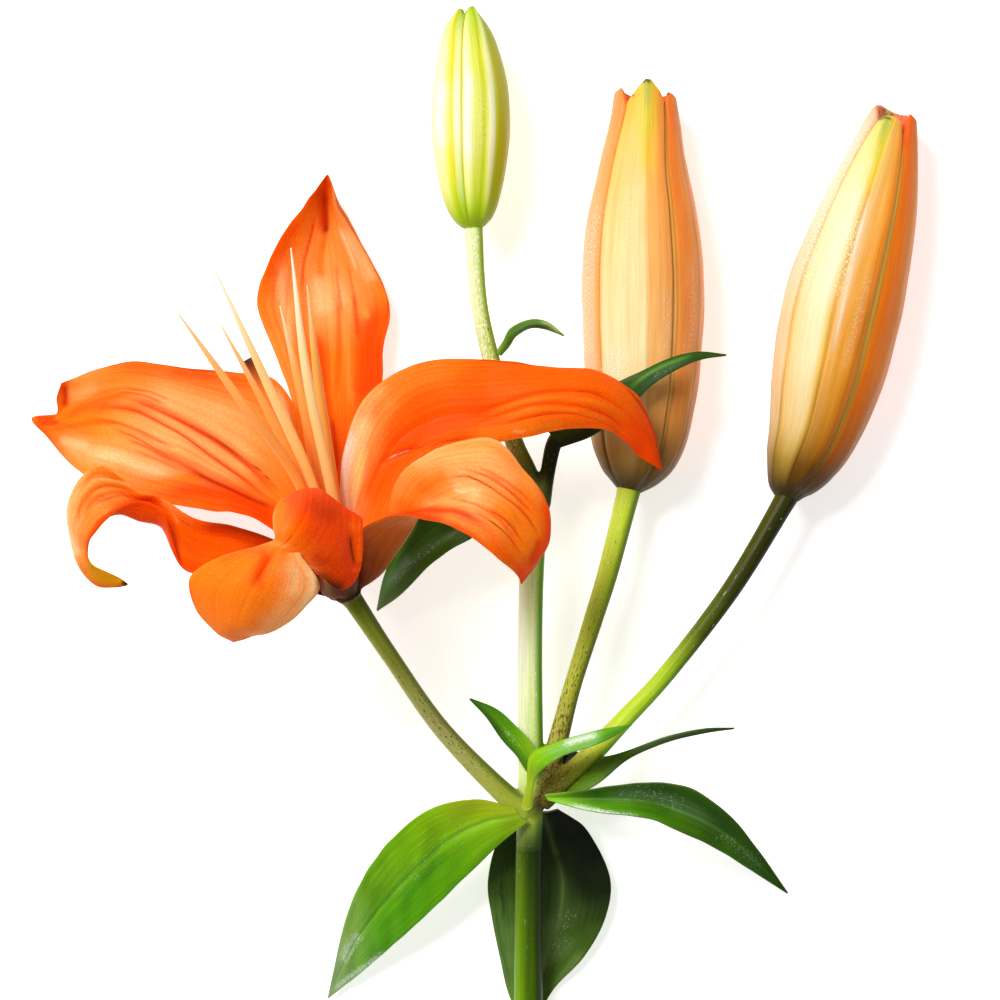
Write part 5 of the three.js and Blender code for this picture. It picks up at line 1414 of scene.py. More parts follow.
PETAL_CURLED = {
    "name": "petal_curled",
    "angle": 150,
    "turn": -1,
    "steps": (230, 72),
    "face": [
        BROWN, BROWN, BRICK, ORANGE, ORANGE, ORANGE, ORANGE, AMBER, PEACH,
        PEACH, PEACH, PEACH, PEACH, PEACH, HONEY, HONEY, DARK_BROWN,
    ],
    "first": [
        BROWN, BROWN, BRICK, BRICK, ORANGE, PEACH, ORANGE, AMBER, AMBER,
        PEACH, BLUSH, CREAM, CREAM, BLUSH, AMBER, ORANGE, DARK_BROWN,
    ],
    "last": [
        DARK_BROWN, DARK_BROWN, BRICK, ORANGE, DEEP, DEEP, ORANGE, ORANGE, ORANGE,
        DEEP, ORANGE, ORANGE, AMBER, HONEY, HONEY, HONEY, DARK_BROWN,
    ],
    "back": [BROWN, BROWN, BRICK, DEEP, DEEP, "#f08020", "#f08a24", "#e8741c", "#e06814"],
    "rows": [
        [[-44, -14, 47.4], [-44.6, -16.5, 48.4], [-45.2, -19, 50.5], [-45.6, -20.8, 53], [-46, -21.6, 56]],
        [[-54.5, -9.3, 56], [-54.5, -12, 56], [-55, -15, 57], [-55.5, -18, 59.5], [-56, -20, 63]],
        [[-64, -6.2, 62], [-64, -9, 61], [-64.5, -13, 61.5], [-65, -17, 64], [-65.5, -20, 68]],
        [[-73, -4.5, 66.5], [-73, -7.5, 65], [-73, -11.5, 65], [-73, -15, 67], [-72.5, -18, 70]],
        [[-79.5, -0.5, 69.5], [-79, -3, 68], [-78.5, -7, 67], [-78, -11.5, 68], [-76.5, -15.5, 70]],
        [[-83, 0.8, 71], [-82.8, -1.5, 68.5], [-82, -5, 67], [-81, -5.8, 69.5], [-80.5, -3.5, 72.5]],
        [[-87, 1.8, 73], [-87.5, -1, 69.5], [-87, -4.2, 68], [-86.3, -4.6, 71], [-86, -0.2, 74]],
        [[-91.5, 5.8, 74], [-91.8, 1.5, 72], [-91.5, -2, 70.5], [-91, -3, 72.5], [-90.8, -1.2, 75]],
        [[-96, 8.3, 73.5], [-96.5, 4, 73], [-96.5, -0.5, 72], [-95.8, -4, 72], [-95, -4.8, 74]],
        [[-101, 5, 70], [-100.5, 1, 71], [-99.5, -3, 71], [-98.2, -6.5, 71], [-97, -7.5, 72.5]],
        [[-103.8, -2, 67], [-102.8, -4, 69], [-101.5, -6.5, 69.5], [-99.8, -9, 69.5], [-98.6, -10, 70.5]],
        [[-103.2, -9, 65], [-102.3, -10, 66.5], [-101.3, -11.3, 67], [-100, -12.5, 67], [-99.2, -13, 68]],
        [
            [-101, -16, 63], [-100.5, -15.8, 65], [-99.8, -15.7, 65.5], [-98.8, -15.6, 66],
            [-97.8, -15.6, 66.5],
        ],
        [
            [-97, -20.5, 62], [-96.8, -19.3, 63.5], [-96.3, -18.5, 64], [-95.5, -17.6, 64.5],
            [-94.8, -17, 64.5],
        ],
        [[-92.5, -21, 61], [-92.2, -20.3, 61.6], [-92, -19.7, 62], [-91.7, -19, 62], [-91.4, -18.6, 62]],
        [-89.4, -20.3, 60.5],
    ],
    "creases": [
        (0.6, 0.3, [(-84, 0.6), (-90, 2.6), (-96.6, 2.4), (-100.4, -3)]),
        (0.6, 0.3, [(-85, 0), (-91, 0.8), (-97, -1.6), (-100.4, -7)]),
        (0.6, 0.3, [(-86, 2.4), (-92, 4.8), (-97.6, 5), (-101.6, 0.6)]),
    ],
    "marks": [
        (BROWN, 0.9, 0.9, [(-71, -5.6), (-64, -6.8), (-58, -8.6), (-52, -10.8), (-46, -14)]),
        (BRICK, 1.4, 0.8, [(-72, -6.4), (-66, -7.6), (-60, -9.4), (-52, -12)]),
        (AMBER, 1.4, 0.7, [(-86, 4), (-92, 7.2), (-96, 7.6), (-99.6, 5.4)]),
        (CREAM, 1.6, 0.9, [(-103.4, -1), (-103.6, -6), (-102.4, -11), (-101, -14)]),
        (BLUSH, 1.4, 0.8, [(-101.4, 3), (-101.6, -3), (-101, -9)]),
        (ORANGE, 0.45, 0.75, [(-84.6, 1.6), (-90, 3.6), (-96.4, 3.4), (-100.4, -1), (-101.2, -6)]),
        (ORANGE, 0.4, 0.7, [(-85.4, 0.8), (-91, 2), (-97, 0.6), (-100, -4)]),
        (ORANGE, 0.4, 0.6, [(-86, 3), (-91, 5.8), (-97, 6.4), (-101, 2.4)]),
        (BLUSH, 0.4, 0.7, [(-86, 2.2), (-91.6, 4.4), (-97, 4.8), (-101, 0.4)]),
        (BLUSH, 0.4, 0.6, [(-88, 0.8), (-94, 1), (-98.6, -3.4)]),
        (DEEP, 0.7, 0.9, [(-80.6, 0.2), (-85.4, 0.2), (-91.2, -1.9), (-96.2, -6), (-98.9, -11.4)]),
        (HONEY, 0.9, 0.9, [(-99, -14.6), (-96, -17), (-92.5, -18.8), (-90.6, -19.6)]),
        (AMBER, 0.9, 0.8, [(-101.2, -15), (-98, -19.6), (-94, -20.9)]),
        (DARK_BROWN, 0.6, 0.9, [(-90.8, -19.6), (-89.4, -20.2)]),
        (PEACH, 0.4, 0.8, [(-81.6, 0.2), (-79.4, -1.4), (-77.8, -4), (-77.4, -5.6)]),
    ],
}
# The dark root of this petal's face, its darker right margin up over the hump and the dark marks low on its
# claw are painted shade. The CLARET and DEEP bands over the hump and the BROWN line in its right crease are
# painted shade, the PEACH line along the lobe's top is a painted highlight, and the ORANGE band under that is
# painted shade.
PETAL_FRONT = {
    "name": "petal_front",
    "angle": 90,
    "turn": -1,
    "steps": (220, 104),
    "face": [DARK_BROWN, BROWN, BRICK, DEEP, DEEP, DEEP, ORANGE, AMBER, AMBER, AMBER, AMBER, AMBER, AMBER],
    "first": [BROWN, BROWN, ORANGE, AMBER, AMBER, AMBER, ORANGE, AMBER, AMBER, AMBER, AMBER, AMBER, AMBER],
    "last": [DARK_BROWN, DARK_BROWN, BRICK, DEEP, DEEP, BRICK, BRICK, BLUSH, BLUSH, BLUSH, BLUSH, PEACH, AMBER],
    "back": [DARK_BROWN, BROWN, BRICK, DEEP, DEEP, "#e85c14", "#ec6c20", "#e86c20"],
    "rows": [
        [[-45, -18.6, 51], [-40.6, -22.6, 53.4], [-33.8, -17.4, 53]],
        [[-47.5, -7, 60], [-42, -14, 67.5], [-33.8, -10, 61]],
        [[-51, 0, 68], [-44, -1.5, 77], [-33.5, -5.5, 69.5]],
        [[-54, -2, 78], [-45.5, 2.6, 84], [-33, -5.5, 80]],
        [[-54.5, -6, 84], [-46.5, -3, 92], [-33.5, -17, 83]],
        [[-54.3, -9.5, 88], [-50, -9, 96], [-39, -21.5, 86]],
        [[-58, -11, 91], [-54.5, -13, 97], [-47.8, -13, 95.5]],
        [[-67, -13.5, 93], [-58, -18.5, 98], [-43.2, -20.5, 94]],
        [[-74.3, -18.5, 91], [-61, -24, 97], [-47, -26, 92]],
        [[-73, -26, 88], [-63, -29.5, 93], [-53, -31, 90]],
        [[-68, -31.8, 86], [-64.5, -32.5, 88], [-59.5, -33, 87]],
        [-64, -34, 85],
    ],
    "creases": [
        (1.4, 0.8, [(-54.4, -12), (-56.4, -16), (-58, -20)]),
        (0.6, 0.5, [(-36, -8.6), (-35.4, -12), (-34.8, -15.6)]),
        (0.35, 0.2, [(-49, -15), (-49, -18.6), (-49.6, -22)]),
    ],
    "marks": [
        (AMBER, 2.4, 0.8, [(-52.6, 0), (-52.8, -4), (-51.6, -9)]),
        (PEACH, 0.5, 0.9, [(-54, -2), (-54.2, -5), (-53.6, -9)]),
        (CLARET, 2.6, 0.5, [(-47, 0), (-43, -2.6), (-39, -5)]),
        (DEEP, 2.0, 0.7, [(-47, -7), (-42, -9), (-38, -10)]),
        (BRICK, 1.6, 0.8, [(-46, -13.4), (-42, -14.6), (-38.6, -15.4)]),
        ("#542402", 2.0, 0.95, [(-45, -18.6), (-41, -20.4), (-37.4, -21.8)]),
        (DARK_BROWN, 1.2, 0.9, [(-44, -21.6), (-40, -22.6), (-36, -22.8)]),
        (ORANGE, 1.4, 0.8, [(-37, -5.4), (-35, -6.8), (-33.4, -7)]),
        (BROWN, 0.6, 0.9, [(-36, -8.6), (-35.4, -12), (-34.8, -15.6)]),
        (ORANGE, 0.7, 0.7, [(-34.2, -8), (-34, -12), (-33.6, -15)]),
        (DEEP, 0.8, 0.95, [(-36, -16.4), (-34.4, -16.9), (-33, -16)]),
        (PEACH, 0.6, 0.9, [(-68, -13.4), (-64.3, -11.6), (-58.6, -10.5), (-53.8, -10.6), (-49.6, -11.8)]),
        (ORANGE, 1.3, 0.8, [(-68, -15.4), (-62, -12.8), (-55, -12.4)]),
        (DEEP, 1.7, 0.95, [(-55, -11.8), (-56.6, -15), (-57.8, -18), (-59, -21.4)]),
        (AMBER, 5.0, 0.7, [(-71, -19), (-69, -24), (-66, -30)]),
        (CREAM, 3.0, 0.35, [(-51.4, -14), (-49.4, -19), (-50, -24)]),
        (BLUSH, 2.6, 0.7, [(-50, -24), (-53, -28), (-58, -31)]),
        (CREAM, 0.9, 0.7, [(-46.4, -15.6), (-44.8, -19), (-45.8, -23), (-49, -27)]),
        (CREAM, 0.35, 0.7, [(-49.4, -15), (-49.4, -18.6), (-50, -22)]),
        (BRICK, 0.25, 0.6, [(-74.3, -18.5), (-73, -26), (-68, -31.8), (-63, -34), (-54, -31)]),
    ],
}
# The PEARL and CREAM marks near this petal's middle are painted highlights, and the dark foot of its back is
# partly painted shade under the front petal's hump.
PETAL_LOWER_RIGHT = {
    "name": "petal_lower_right",
    "angle": 30,
    "turn": 1,
    "steps": (200, 100),
    "face": [BROWN, ORANGE, AMBER, AMBER, PEACH, BLUSH, PEACH, AMBER, AMBER, ORANGE, DEEP, DEEP],
    "first": [BROWN, AMBER, AMBER, PEACH, BLUSH, BLUSH, BLUSH, PEACH, ORANGE, DEEP, DEEP, DEEP],
    "last": [BROWN, DEEP, DEEP, DEEP, BRICK, DEEP, ORANGE, ORANGE, ORANGE, DEEP, DEEP, DEEP],
    "back": [DARK_BROWN, "#b45408", "#e47010", "#f08028", "#f07c30", "#f06c20", "#e86018"],
    "rows": [
        [[-29.6, -13.2, 46], [-28.4, -15, 48], [-28.5, -17, 50.5], [-31, -17.8, 51.5], [-35, -15.2, 50.5]],
        [[-27.2, -4.8, 51.5], [-25.2, -6, 54], [-23, -9, 57], [-28, -9.5, 60], [-34.5, -8.4, 61]],
        [[-25.6, 3, 57], [-23, 0.5, 60], [-19, -3, 63], [-21.5, -4, 67.5], [-26.5, -3.8, 70]],
        [[-21, 9, 62.5], [-18.5, 6, 66], [-13, 0.5, 69], [-14, -2.8, 73], [-15, -5.3, 76]],
        [[-12, 13.3, 66.5], [-10, 8.5, 71], [-6, 2.5, 73.5], [-7.2, -3, 76], [-8.5, -8, 78]],
        [[-1.5, 14.5, 68.5], [-0.5, 8, 73], [1, 0.5, 75], [-1, -6, 76.5], [-3.5, -11.5, 77]],
        [[6.5, 6.5, 70], [6.7, 1.5, 72.5], [5, -5, 74.5], [2.7, -10, 75], [0, -14.5, 75]],
        [[11.5, -1.5, 70], [10, -5.5, 71.5], [8, -9, 72.5], [5.5, -13, 72.5], [2.5, -16.5, 72]],
        [[12, -9, 69], [10.3, -11.4, 70], [8.3, -13.7, 70.5], [6.2, -16, 70], [4, -18, 69.5]],
        [[9, -15, 67.5], [7.9, -16, 68], [6.8, -17, 68], [5.7, -18, 68], [4.6, -19, 67.5]],
        [5.2, -20, 66],
    ],
    "creases": [
        (0.5, 0.55, [(-12, 5.2), (-8, 5.6), (-4, 4), (0, 1.6), (4, -1.4), (7, -4.6), (9, -8)]),
        (0.45, 0.4, [(-10, 7.6), (-4, 6), (0, 3.6), (4, 0.6), (8, -3.6)]),
        (0.45, 0.4, [(-12, 0.6), (-6, -1), (-1, -3.8), (3, -6.6), (5.6, -10.4)]),
        (0.45, 0.35, [(-6, -2.6), (-1, -6), (2.6, -9.4), (5, -13)]),
        (0.45, 0.3, [(-3, 6.4), (1, 3.6), (5, 0), (8.6, -4.4)]),
    ],
    "marks": [
        (AMBER, 1.6, 0.95, [(-34.6, -5), (-31, -4.2), (-27, -3.2)]),
        (PEACH, 0.4, 0.9, [(-33.4, -3.2), (-30, -2.5), (-27, -2.5)]),
        (PEACH, 2.2, 0.8, [(-25, 0), (-23, 4.6), (-18.6, 8.6)]),
        (AMBER, 2.0, 0.8, [(-21, 2), (-16, 4.4), (-12, 6)]),
        (BLUSH, 3.2, 0.8, [(-9, 10), (-2, 8.4), (4, 2.6)]),
        (PEACH, 1.2, 0.8, [(-16, 11), (-8, 13.2), (-2, 12.6), (4, 7.6), (9, 1)]),
        (CREAM, 1.3, 0.6, [(-11.6, 3.8), (-8, 2.6), (-4, 0.8)]),
        (BLUSH, 1.5, 0.8, [(-19, -0.8), (-13, -0.6), (-8, -0.6)]),
        (AMBER, 1.9, 0.9, [(-2.4, -1.4), (2, -3.6), (5.6, -7.6)]),
        (BRICK, 0.35, 0.95, [(-11.5, 5.3), (-8, 5.6), (-4, 4), (0, 1.6), (4, -1.4), (7, -4.6), (9, -8)]),
        (DEEP, 0.35, 0.85, [(-10, 7.6), (-4, 6), (0, 3.6), (4, 0.6), (8, -3.6)]),
        (DEEP, 0.3, 0.7, [(-6, 8), (-1, 6), (4, 2.4), (8, -1.6)]),
        (DEEP, 0.3, 0.7, [(-3, 6.4), (1, 3.6), (5, 0), (8.6, -4.4)]),
        (BRICK, 0.35, 0.8, [(-4, -1.8), (0, -3.8), (3, -6.6), (5.6, -10.4)]),
        (BRICK, 0.3, 0.8, [(-6, -2.6), (-1, -6), (2.6, -9.4), (5, -13)]),
        (DEEP, 0.3, 0.7, [(-12, 0.4), (-6, -1.2), (-1, -4.2), (3.4, -8.8)]),
        (BRICK, 1.0, 0.9, [(-30, -6.8), (-26, -4.6), (-20, -3), (-13, -2.8), (-8, -3.8), (-3, -6.6)]),
        (PEACH, 1.1, 0.7, [(-15, -4.6), (-10, -5.2), (-5, -8), (-2, -11)]),
        (DEEP, 1.7, 0.85, [(9.6, 0), (11.6, -5), (10.6, -11), (7, -17)]),
        (BRICK, 0.9, 0.7, [(9.4, -9), (8.4, -12), (6.6, -16)]),
        (PEARL, 0.3, 0.4, [(-11.2, 2.6), (-9.4, 2), (-7.6, 1.4)]),
        (CLARET, 0.25, 0.6, [(8, 4), (12, -3), (12.2, -9), (9, -15), (5.5, -19.5)]),
    ],
}
# The PEARL line along this petal's fold is a painted highlight and the BRICK line beside it painted shade.
# Its cream margin is partly its own pale colour and partly a painted highlight where the rolled margin
# catches the light.
PETAL_UPPER_RIGHT = {
    "name": "petal_upper_right",
    "angle": 330,
    "turn": 1,
    "steps": (200, 100),
    "face": [DEEP, AMBER, AMBER, ORANGE, ORANGE, ORANGE, ORANGE, ORANGE, ORANGE, ORANGE, DEEP, BRICK],
    "first": [CREAM, PEARL, PEARL, CREAM, PEACH, AMBER, ORANGE, ORANGE, ORANGE, ORANGE, DEEP, BRICK],
    "last": [DEEP, DEEP, ORANGE, ORANGE, ORANGE, ORANGE, AMBER, ORANGE, ORANGE, DEEP, DEEP, BRICK],
    "back": ["#5c5a18", "#a8601c", "#d87024", "#e87428", "#e87020", "#e06014", "#c84c0c"],
    "rows": [
        [
            [-34.9, -11.5, 46], [-33.8, -11.5, 43.8], [-32.9, -12, 42.5], [-31.8, -12.5, 42.6],
            [-31, -13, 43.4],
        ],
        [[-38, -2, 44.6], [-35.5, -3, 45], [-33, -3.5, 44.4], [-29.8, -4.6, 43.8], [-26.8, -5.4, 44.8]],
        [[-37.5, 12, 45], [-33, 9.5, 45.8], [-29, 7, 45.2], [-26, 5, 44.8], [-23.5, 3.5, 45.6]],
        [[-32, 25, 45.4], [-27.5, 20.5, 46.2], [-23.5, 15, 45.6], [-20.5, 11.8, 45.6], [-18, 9, 46.2]],
        [[-20, 32.7, 45.4], [-17.5, 27.5, 46.4], [-14, 20, 46.2], [-12, 15.5, 47], [-11, 12.2, 47]],
        [[-4, 33.8, 45], [-3, 28.5, 46], [-1, 21.5, 47.5], [0.5, 17, 48.5], [1, 14, 47.5]],
        [[12, 32, 44], [13, 29, 46], [14, 25, 48], [15, 20.5, 48], [15, 16.8, 46]],
        [[24, 30.8, 42], [24, 28.5, 44], [24.5, 25, 45], [24.5, 21, 44.5], [24.5, 17, 43]],
        [[32.5, 25.5, 38], [31.8, 24, 40], [31, 21, 41], [30, 17, 40], [29.5, 14.5, 39]],
        [[36.8, 17, 35], [36, 16, 36], [35, 14.5, 37], [34, 12.5, 36], [33.3, 10.5, 35]],
        [38.7, 7.5, 33],
    ],
    "creases": [
        (0.7, 0.9, [(-29, 8.6), (-24.5, 11), (-20, 12.3), (-12.7, 13.6), (-5, 15)]),
        (0.6, 0.5, [(-8, 19.4), (0, 23), (8, 25.4), (16, 26.4), (24, 25), (32.4, 19.6)]),
        (0.6, 0.45, [(-6, 17.6), (2, 21.6), (10, 23), (18, 22.6), (26, 20), (33, 14.6)]),
        (0.5, 0.4, [(1.2, 18), (8.4, 20), (18, 20.6), (27.6, 17.4)]),
    ],
    "marks": [
        (CREAM, 2.9, 0.95, [(-36.4, -7), (-36, 2), (-35, 9), (-33, 16), (-30.4, 21)]),
        (PEARL, 1.2, 0.95, [(-37.4, -4), (-37.4, 4), (-36.6, 11), (-35.2, 17)]),
        ("#fdd470", 1.0, 0.7, [(-34.6, 1), (-33.8, 7), (-32.4, 13)]),
        (PEACH, 2.0, 0.8, [(-31.4, 8), (-30, 15), (-27.6, 21), (-24, 25.6)]),
        (BLUSH, 1.4, 0.8, [(-34, 20), (-31, 24), (-27, 27.6)]),
        (AMBER, 3.4, 0.9, [(-27, 24), (-22, 28.6), (-14, 30.6), (-6, 31)]),
        (ORANGE, 2.8, 0.7, [(-14, 27), (-5, 28.6), (6, 29.4), (18, 29)]),
        (DEEP, 3.2, 0.7, [(-28, 10.6), (-22, 15), (-14, 18.6), (-6, 21.4), (1, 24)]),
        (ORANGE, 2.2, 0.9, [(-31.6, -1), (-29, 5), (-24, 8.6), (-18, 10.6)]),
        (AMBER, 0.6, 0.8, [(-34.4, -3), (-33, 2.4), (-30.6, 7)]),
        (BRICK, 0.3, 0.7, [(-28.4, 8.4), (-24.5, 10.4), (-20, 11.6)]),
        (PEARL, 0.3, 0.95, [(-26.8, 9.9), (-24.4, 11.2), (-21.6, 12.1)]),
        (PEACH, 0.5, 0.9, [(-21.6, 12.3), (-16, 13.4), (-8, 14.2), (-1, 15)]),
        (DEEP, 0.5, 0.9, [(-8, 19.4), (0, 23), (8, 25.4), (16, 26.4), (24, 25), (32.4, 19.6)]),
        (DEEP, 0.5, 0.85, [(-6, 17.6), (2, 21.6), (10, 23), (18, 22.6), (26, 20), (33, 14.6)]),
        (DEEP, 0.45, 0.8, [(1.2, 18), (8.4, 20), (18, 20.6), (27.6, 17.4)]),
        (AMBER, 0.5, 0.8, [(-3, 20.4), (4, 23), (12, 24.5), (20, 24.2), (28, 21.6)]),
        (AMBER, 0.5, 0.7, [(0, 19.6), (8, 21.6), (17, 21.6), (26, 18.8)]),
        (AMBER, 1.4, 0.9, [(-8, 15.6), (0, 16.4), (8, 17.6), (16, 18.4)]),
        (CREAM, 0.25, 0.4, [(3, 16.9), (4.4, 16.5), (5.8, 16.6)]),
        (DEEP, 2.2, 0.8, [(30, 21), (33.5, 16), (37, 9)]),
        (CLARET, 0.35, 0.7, [(29, 28), (34, 22), (37, 16), (38.6, 9)]),
        (CLARET, 0.25, 0.6, [(-24, 31.6), (-12, 34.2), (0, 33.2), (10, 32.2), (22, 31.2)]),
    ],
}
PETALS = [PETAL_TOP, PETAL_LEFT, PETAL_CURLED, PETAL_FRONT, PETAL_LOWER_RIGHT, PETAL_UPPER_RIGHT]
PETAL_RIB = {"width": 0.8, "depth": 0.25, "starts": (0.05, 0.15), "ends": (0.6, 0.95)}
PETAL_FIBRES = {"count": 19, "width": 0.36, "depth": 0.1, "seed": 100}
PETAL_SWELL = {"length": 11, "rise": 0.22, "seed": 140}
RUFFLE = {"length": 6, "rise": 0.16, "power": 4, "seed": 180}
FACE_FIBRES = {"tint": (0.98, 0.62, 0.4), "strength": 0.5}
BACK_FIBRES = {"light": 0.8, "strength": 0.7}
BACK_RIB = {"colours": ["#7c8430", "#c88a48"], "strength": 0.6}
PETALS_APART = 13.0
PETAL_SIDES_APART = 5.0

# The relief grows where half of the petal's width in mm passes from the first of these to the second.
BROADENS = (1.5, 5)

# The margins' colours begin and are full at these shares of the way from the middle to the edge.
MARGIN = (0.35, 0.95)

petal_skin = satin_petal()
for seed, petal in enumerate(PETALS):
    columns = len(petal["rows"][0])
    angles = petal["angle"] + petal["turn"] * np.linspace(-PETAL_ROOT_SPAN, PETAL_ROOT_SPAN, columns)
    root = throat_point(angles, PETAL_RING, PETAL_ROOT_LEVEL)
    blade = sheet(petal["rows"], *petal["steps"], root=[root])
    across, along, half = blade["across"], blade["along"], blade["half_width"]
    where = laid_out(blade["grid"])
    toward_face = -petal["turn"] * sheet_normals(blade["grid"])

    # The rib, the fibres, the swell, the ruffled margins and the creases are all shape.
    broad = ease(*BROADENS, half)
    middle = np.exp(-(across * half / PETAL_RIB["width"]) ** 2) * ease(*PETAL_RIB["starts"], along)
    middle = middle * (1 - ease(*PETAL_RIB["ends"], along)) * broad
    fan = ribs(blade, PETAL_FIBRES["count"], PETAL_FIBRES["width"], seed + PETAL_FIBRES["seed"]) * broad
    swell = unevenness(across * half, blade["run"], PETAL_SWELL["length"], seed + PETAL_SWELL["seed"])
    ruffle = unevenness(across, blade["run"], RUFFLE["length"], seed + RUFFLE["seed"])
    waves = swell * PETAL_SWELL["rise"] + ruffle * RUFFLE["rise"] * across ** RUFFLE["power"]
    sink = PETAL_RIB["depth"] * middle + PETAL_FIBRES["depth"] * fan + waves * broad
    sink = add_lines(sink, where, petal["creases"])
    blade["grid"] = blade["grid"] - toward_face * sink[..., None]
    piece = add_sheet(petal["name"], blade, PETAL_THICKNESS, petal_skin)

    # The face has its runs of colour, its marks and deeper fibres, and the back darker fibres and a rib.
    begin, full = MARGIN
    face = shaded(petal["face"], along)
    face = mixed(face, shaded(petal["first"], along), ease(-begin, -full, across))
    face = mixed(face, shaded(petal["last"], along), ease(begin, full, across))
    face = add_marks(face, where, petal["marks"])
    face = mixed(face, face * np.array(FACE_FIBRES["tint"]), FACE_FIBRES["strength"] * fan)
    back = shaded(petal["back"], along)
    back = mixed(back, back * BACK_FIBRES["light"], BACK_FIBRES["strength"] * fan)
    back = mixed(back, shaded(BACK_RIB["colours"], along), BACK_RIB["strength"] * middle)
    sides = [face, back] if petal["turn"] < 0 else [back, face]
    colour_in(piece, both_sides(*sides), grain_places(blade, PETALS_APART * seed, PETAL_SIDES_APART))
    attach(piece, "root")
    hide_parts(petal["name"])

# Stamens and pistil: six pale filaments, bare of anthers, stand on a low collar in the throat, round
# the pistil with its thick style and its dark, dry stigma. They are firm, smooth and slightly glassy.
COLLAR = {
    "radii": [2.9, 3.2, 3.2, 2.6], "levels": [0.6, 1.0, 2.5, 3.0], "sides": 48,
    "colours": ["#a8a840", "#d89038"],
}
FILAMENT = {"foot_radius": 2.35, "foot": 2.4, "radii": [0.85, 1.3, 1.1, 0.14]}
ROD_STEPS = 90
ROD_SIDES = 20

# The grain is laid on each rod as if it had this radius and length, in a layer of its own.
MEAN_RADIUS = 1.2
MEAN_LENGTH = 60
RODS_APART = 9.0
FILAMENTS = [
    {"angle": 150, "path": [[-48.6, 4.8, 55], [-62.4, 24, 66], [-77.3, 44.9, 72]],
     "colours": ["#f88c30", "#fd9838", "#fda44c", "#fdac58", "#fec890"]},
    {"angle": 90, "path": [[-45.4, 4.8, 54], [-55.7, 27.6, 60], [-68.4, 55.2, 64]],
     "colours": ["#f89838", "#fdac50", "#fdc070", "#fdcc88", "#fee8c4"]},
    {"angle": 210, "path": [[-48, 4.8, 45], [-55.8, 21.6, 46.5], [-67, 42, 50]],
     "colours": ["#f08420", "#fb9834", "#fba448", "#fcac58", "#fdc890"]},
    # This filament is paler than the others, near white toward its tip, as a painted highlight.
    {"angle": 30, "path": [[-41, 4.8, 55], [-46.6, 31.2, 63], [-50.2, 60.5, 66]],
     "colours": ["#fca040", "#fdb860", "#fdcc80", "#fed89c", "#fff4e0"]},
    {"angle": 270, "path": [[-43.6, 4.8, 43], [-48, 26.4, 42], [-52.8, 46.6, 42]],
     "colours": ["#f08420", "#fb9430", "#fda044", "#fdac58", "#fed8a8"]},
    {"angle": 330, "path": [[-40.2, 4.8, 47.5], [-43.7, 28.8, 50], [-46.3, 51.6, 52]],
     "colours": ["#f08420", "#fb9634", "#fda648", "#fdac54", "#fdcc90"]},
]
PISTIL = {
    "foot": 3.4,
    "layer": 10,
    "path": [[-40.6, -8.4, 46.3], [-44.4, 4.8, 49], [-52.3, 19.5, 52], [-60.2, 34, 54]],
    "radii": [0.55, 0.85, 0.95, 0.95, 1.5],
    "colours": ["#a8b040", "#f08c30", "#f88c30", "#f88428", "#f07c20", "#f07c20", "#f07c20", "#3c1410"],
}


def glassy_filament():
    """Firm pale filament, slightly see-through, with a smooth sheen and faint lengthwise lines."""
    line_width = 0.4
    line_length = 12
    material, tree = new_material("glassy_filament")
    tint = add_node(tree, "Attribute", attribute_name="tint").outputs["Color"]
    lie = add_node(tree, "Attribute", attribute_name="lie").outputs["Vector"]
    lines = skin_grain(tree, lie, line_width, line_length, 2.0)
    flesh = lit_by(tree, tint, lines, (0.3, 0.7), (0.95, 1.05))
    bump = add_node(tree, "Bump", {"Height": lines, "Strength": 0.4, "Distance": 0.1 * METRES})
    shader = add_node(tree, "BsdfPrincipled", {
        "Base Color": flesh, "Roughness": 0.36, "IOR": 1.4, "Specular IOR Level": 0.2,
        "Subsurface Weight": 0.2, "Subsurface Radius": (1.0, 0.5, 0.2), "Subsurface Scale": 1.0 * METRES,
        "Normal": bump.outputs["Normal"],
    })
    add_node(tree, "OutputMaterial", {"Surface": shader.outputs["BSDF"]})
    return material


def add_rods(name, rods, first):
    """One piece of closed rods, each with its colours from foot to tip and a layer of its own."""
    tints, lies = [], []
    for number, (rings, colours) in enumerate(rods):
        sides = rings.shape[1]
        shares = np.repeat(np.linspace(0, 1, len(rings)), sides)
        around = np.tile(turns(sides), len(rings)) * MEAN_RADIUS
        layer = np.full(len(shares), RODS_APART * (first + number))
        tints.append(shaded(colours, shares))
        lies.append(np.stack([around, shares * MEAN_LENGTH, layer], axis=1))
    piece = add_piece(name, *joined([rings for rings, _ in rods]), filament_skin)
    colour_in(piece, np.concatenate(tints), np.concatenate(lies))
    return piece


filament_skin = glassy_filament()
ring_angles = np.degrees(turns(COLLAR["sides"]))
collar = np.array([
    throat_point(ring_angles, radius, level) for radius, level in zip(COLLAR["radii"], COLLAR["levels"])
])
parts = [(collar, COLLAR["colours"])]
for filament in FILAMENTS:
    foot = throat_point(np.array([filament["angle"]]), FILAMENT["foot_radius"], FILAMENT["foot"])
    run = np.concatenate([foot, placed(filament["path"])])
    parts.append((rod(run, FILAMENT["radii"], ROD_STEPS, ROD_SIDES), filament["colours"]))
stamens = add_rods("stamens", parts, 0)
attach(stamens, "root")
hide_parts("stamens")

foot = throat_point(np.array([0.0]), 0, PISTIL["foot"])
rings = rod(np.concatenate([foot, placed(PISTIL["path"])]), PISTIL["radii"], ROD_STEPS, ROD_SIDES)
pistil = add_rods("pistil", [(rings, PISTIL["colours"])], PISTIL["layer"])
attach(pistil, "root")
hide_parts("pistil")

# Table: a light table, a pale sheet of opal acrylic lit from below, that the lily lies on. It isn't
# part of the lily.
SHEET_SIZE = 4.0
SHEET_GLOW = 0.6


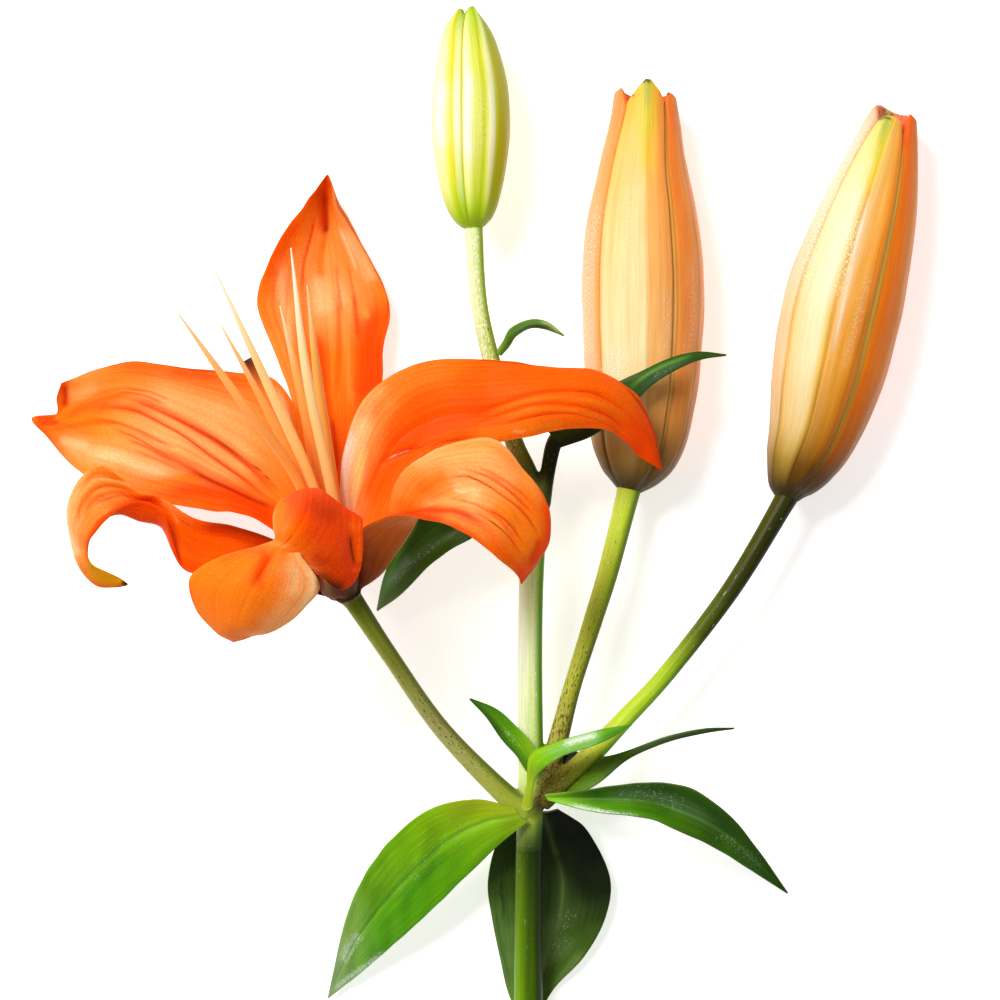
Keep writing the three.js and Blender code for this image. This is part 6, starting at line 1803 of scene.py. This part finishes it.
def lit_opal_acrylic():
    """Matt opal acrylic with an even glow and a faint rolled grain."""
    grain_size = 1.5
    material, tree = new_material("lit_opal_acrylic")
    where = add_node(tree, "TexCoord").outputs["Object"]
    grain = add_node(tree, "TexNoise", {"Vector": where, "Scale": 1 / (grain_size * METRES), "Detail": 2.0})
    bump = add_node(tree, "Bump", {"Height": grain.outputs["Fac"], "Strength": 0.1, "Distance": 0.1 * METRES})
    shader = add_node(tree, "BsdfPrincipled", {
        "Base Color": (*linear("#f4f4f2"), 1), "Roughness": 0.9, "Normal": bump.outputs["Normal"],
        "Emission Color": (1, 1, 1, 1), "Emission Strength": SHEET_GLOW,
    })
    add_node(tree, "OutputMaterial", {"Surface": shader.outputs["BSDF"]})
    return material


half = SHEET_SIZE / 2
table_mesh = bpy.data.meshes.new("table")
table_corners = [(-half, -half, 0), (half, -half, 0), (half, half, 0), (-half, half, 0)]
table_mesh.from_pydata(table_corners, [], [(0, 1, 2, 3)])
table_mesh.materials.append(lit_opal_acrylic())
table = bpy.data.objects.new("table", table_mesh)
bpy.context.collection.objects.link(table)

# Light: one large soft lamp from the upper left, as a photographer's softbox, and a weak even surround
# that fills the shadows, as a white light tent does.
SURROUND = 0.32
LAMP = {"place": (-0.42, 0.48, 1.0), "size": 0.4, "watts": 12.6}
scene = bpy.context.scene
scene.view_settings.view_transform = "Standard"
world = bpy.data.worlds.new("light_tent")
world.use_nodes = True
tent = world.node_tree.nodes["Background"]
tent.inputs["Color"].default_value = (1, 1, 1, 1)
tent.inputs["Strength"].default_value = SURROUND
scene.world = world
lamp_light = bpy.data.lights.new("soft_lamp", "AREA")
lamp_light.size = LAMP["size"]
lamp_light.energy = LAMP["watts"]
lamp = bpy.data.objects.new("soft_lamp", lamp_light)
lamp.location = LAMP["place"]
lamp.rotation_euler = (-lamp.location).to_track_quat("-Z", "Y").to_euler()
bpy.context.collection.objects.link(lamp)

# Camera: straight over the lily, one metre above the layout sheet, so that its picture is the layout.
# On the sheet the picture is this wide in mm.
PICTURE_WIDTH = 240
FILM = 36
lens = bpy.data.cameras.new("camera")
lens.sensor_width = FILM
lens.lens = FILM * EYE_DISTANCE / PICTURE_WIDTH
camera = bpy.data.objects.new("camera", lens)
camera.location = (*(-MIDDLE * METRES), (SHEET_HEIGHT + EYE_DISTANCE) * METRES)
bpy.context.collection.objects.link(camera)
scene.camera = camera
